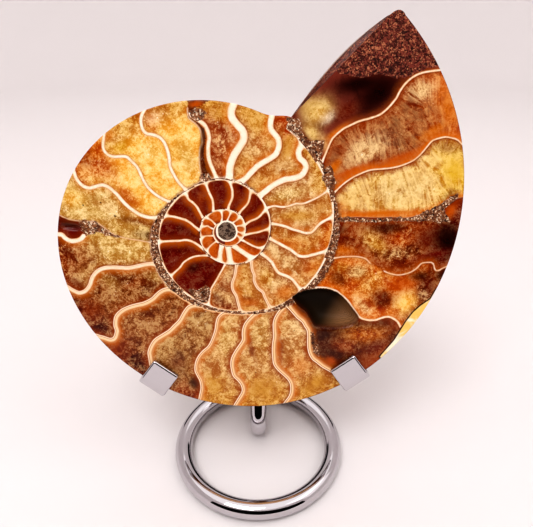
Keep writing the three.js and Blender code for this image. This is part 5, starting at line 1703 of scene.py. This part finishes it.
def paper_bowl():
    """A round floor that curves up to a wall all round: a profile turned about the upright axis."""
    turn = np.linspace(0, math.pi / 2, BOWL_BEND_STEPS)
    wall = BOWL_LEVEL + BOWL_ROUNDING
    reach = np.concatenate([[BOWL_HUB], BOWL_LEVEL + BOWL_ROUNDING * np.sin(turn), [wall]])
    height = np.concatenate([[0.0], BOWL_ROUNDING * (1 - np.cos(turn)), [BOWL_TOP]])
    around = np.linspace(0, TAU, BOWL_SIDES, endpoint=False)
    points = np.stack([reach[:, None] * np.cos(around), reach[:, None] * np.sin(around),
                       height[:, None] + 0 * around], -1)
    quads = wrap_quads(len(reach), BOWL_SIDES)
    hub = len(reach) * BOWL_SIDES
    side = np.arange(BOWL_SIDES)
    fan = np.stack([side * 0 + hub, side, (side + 1) % BOWL_SIDES], -1)
    mesh = bpy.data.meshes.new("floor")
    places = np.concatenate([points.reshape(-1, 3), [[0.0, 0.0, 0.0]]]) * MM
    mesh.from_pydata(places.tolist(), [], fan.tolist() + quads[:, ::-1].tolist())
    mesh.shade_smooth()
    piece = bpy.data.objects.new("floor", mesh)
    bpy.context.scene.collection.objects.link(piece)
    return piece


floor = paper_bowl()
paper, _, _ = plain_finish("floor_paper", PAPER_BASE, Roughness=0.9, Specular_IOR_Level=0.1)
floor.data.materials.append(paper)


def dark_card(name, half_width, y, bottom, top):
    """An upright black card that is seen only in reflections, as a studio uses to draw dark edges on
    chrome and to keep glare off a polished face. Its sizes and places are in metres."""
    mesh = bpy.data.meshes.new(name)
    corners = [(-half_width, y, bottom), (half_width, y, bottom),
               (half_width, y, top), (-half_width, y, top)]
    mesh.from_pydata(corners, [], [[0, 1, 2, 3]])
    mesh.materials.append(card_black)
    card = bpy.data.objects.new(name, mesh)
    bpy.context.scene.collection.objects.link(card)
    card.visible_camera = False
    card.visible_diffuse = False
    card.visible_shadow = False


card_black, _, _ = plain_finish("card_black", CARD_BASE, Roughness=1.0, Specular_IOR_Level=0.0)
dark_card("card_front", half_width=0.7, y=-0.55, bottom=-0.02, top=0.42)
dark_card("card_back", half_width=0.5, y=0.6, bottom=0.05, top=0.3)


def area_light(name, place, aim, size, power):
    """A soft square light that looks from its place to its aim, in metres and watts."""
    data = bpy.data.lights.new(name, "AREA")
    data.size = size
    data.energy = power
    lamp = bpy.data.objects.new(name, data)
    lamp.location = place
    facing = np.array(aim) - np.array(place)
    facing = facing / np.linalg.norm(facing)
    lamp.rotation_euler = (math.acos(-facing[2]), 0, math.atan2(facing[0], -facing[1]) + math.pi)
    bpy.context.scene.collection.objects.link(lamp)


area_light("key_light", place=(-0.2, -0.4, 0.88), aim=(0, 0, 0.05), size=0.45, power=2.6)
area_light("fill_light", place=(0.6, -0.1, 0.7), aim=(0, 0, 0.05), size=0.6, power=0.5)

world = bpy.data.worlds.new("studio")
bpy.context.scene.world = world
world.use_nodes = True
world.node_tree.nodes["Background"].inputs["Color"].default_value = (1.0, 0.96, 0.95, 1)
world.node_tree.nodes["Background"].inputs["Strength"].default_value = 1.0

view_settings = bpy.context.scene.view_settings
view_settings.view_transform = "Standard"
view_settings.look = "High Contrast"
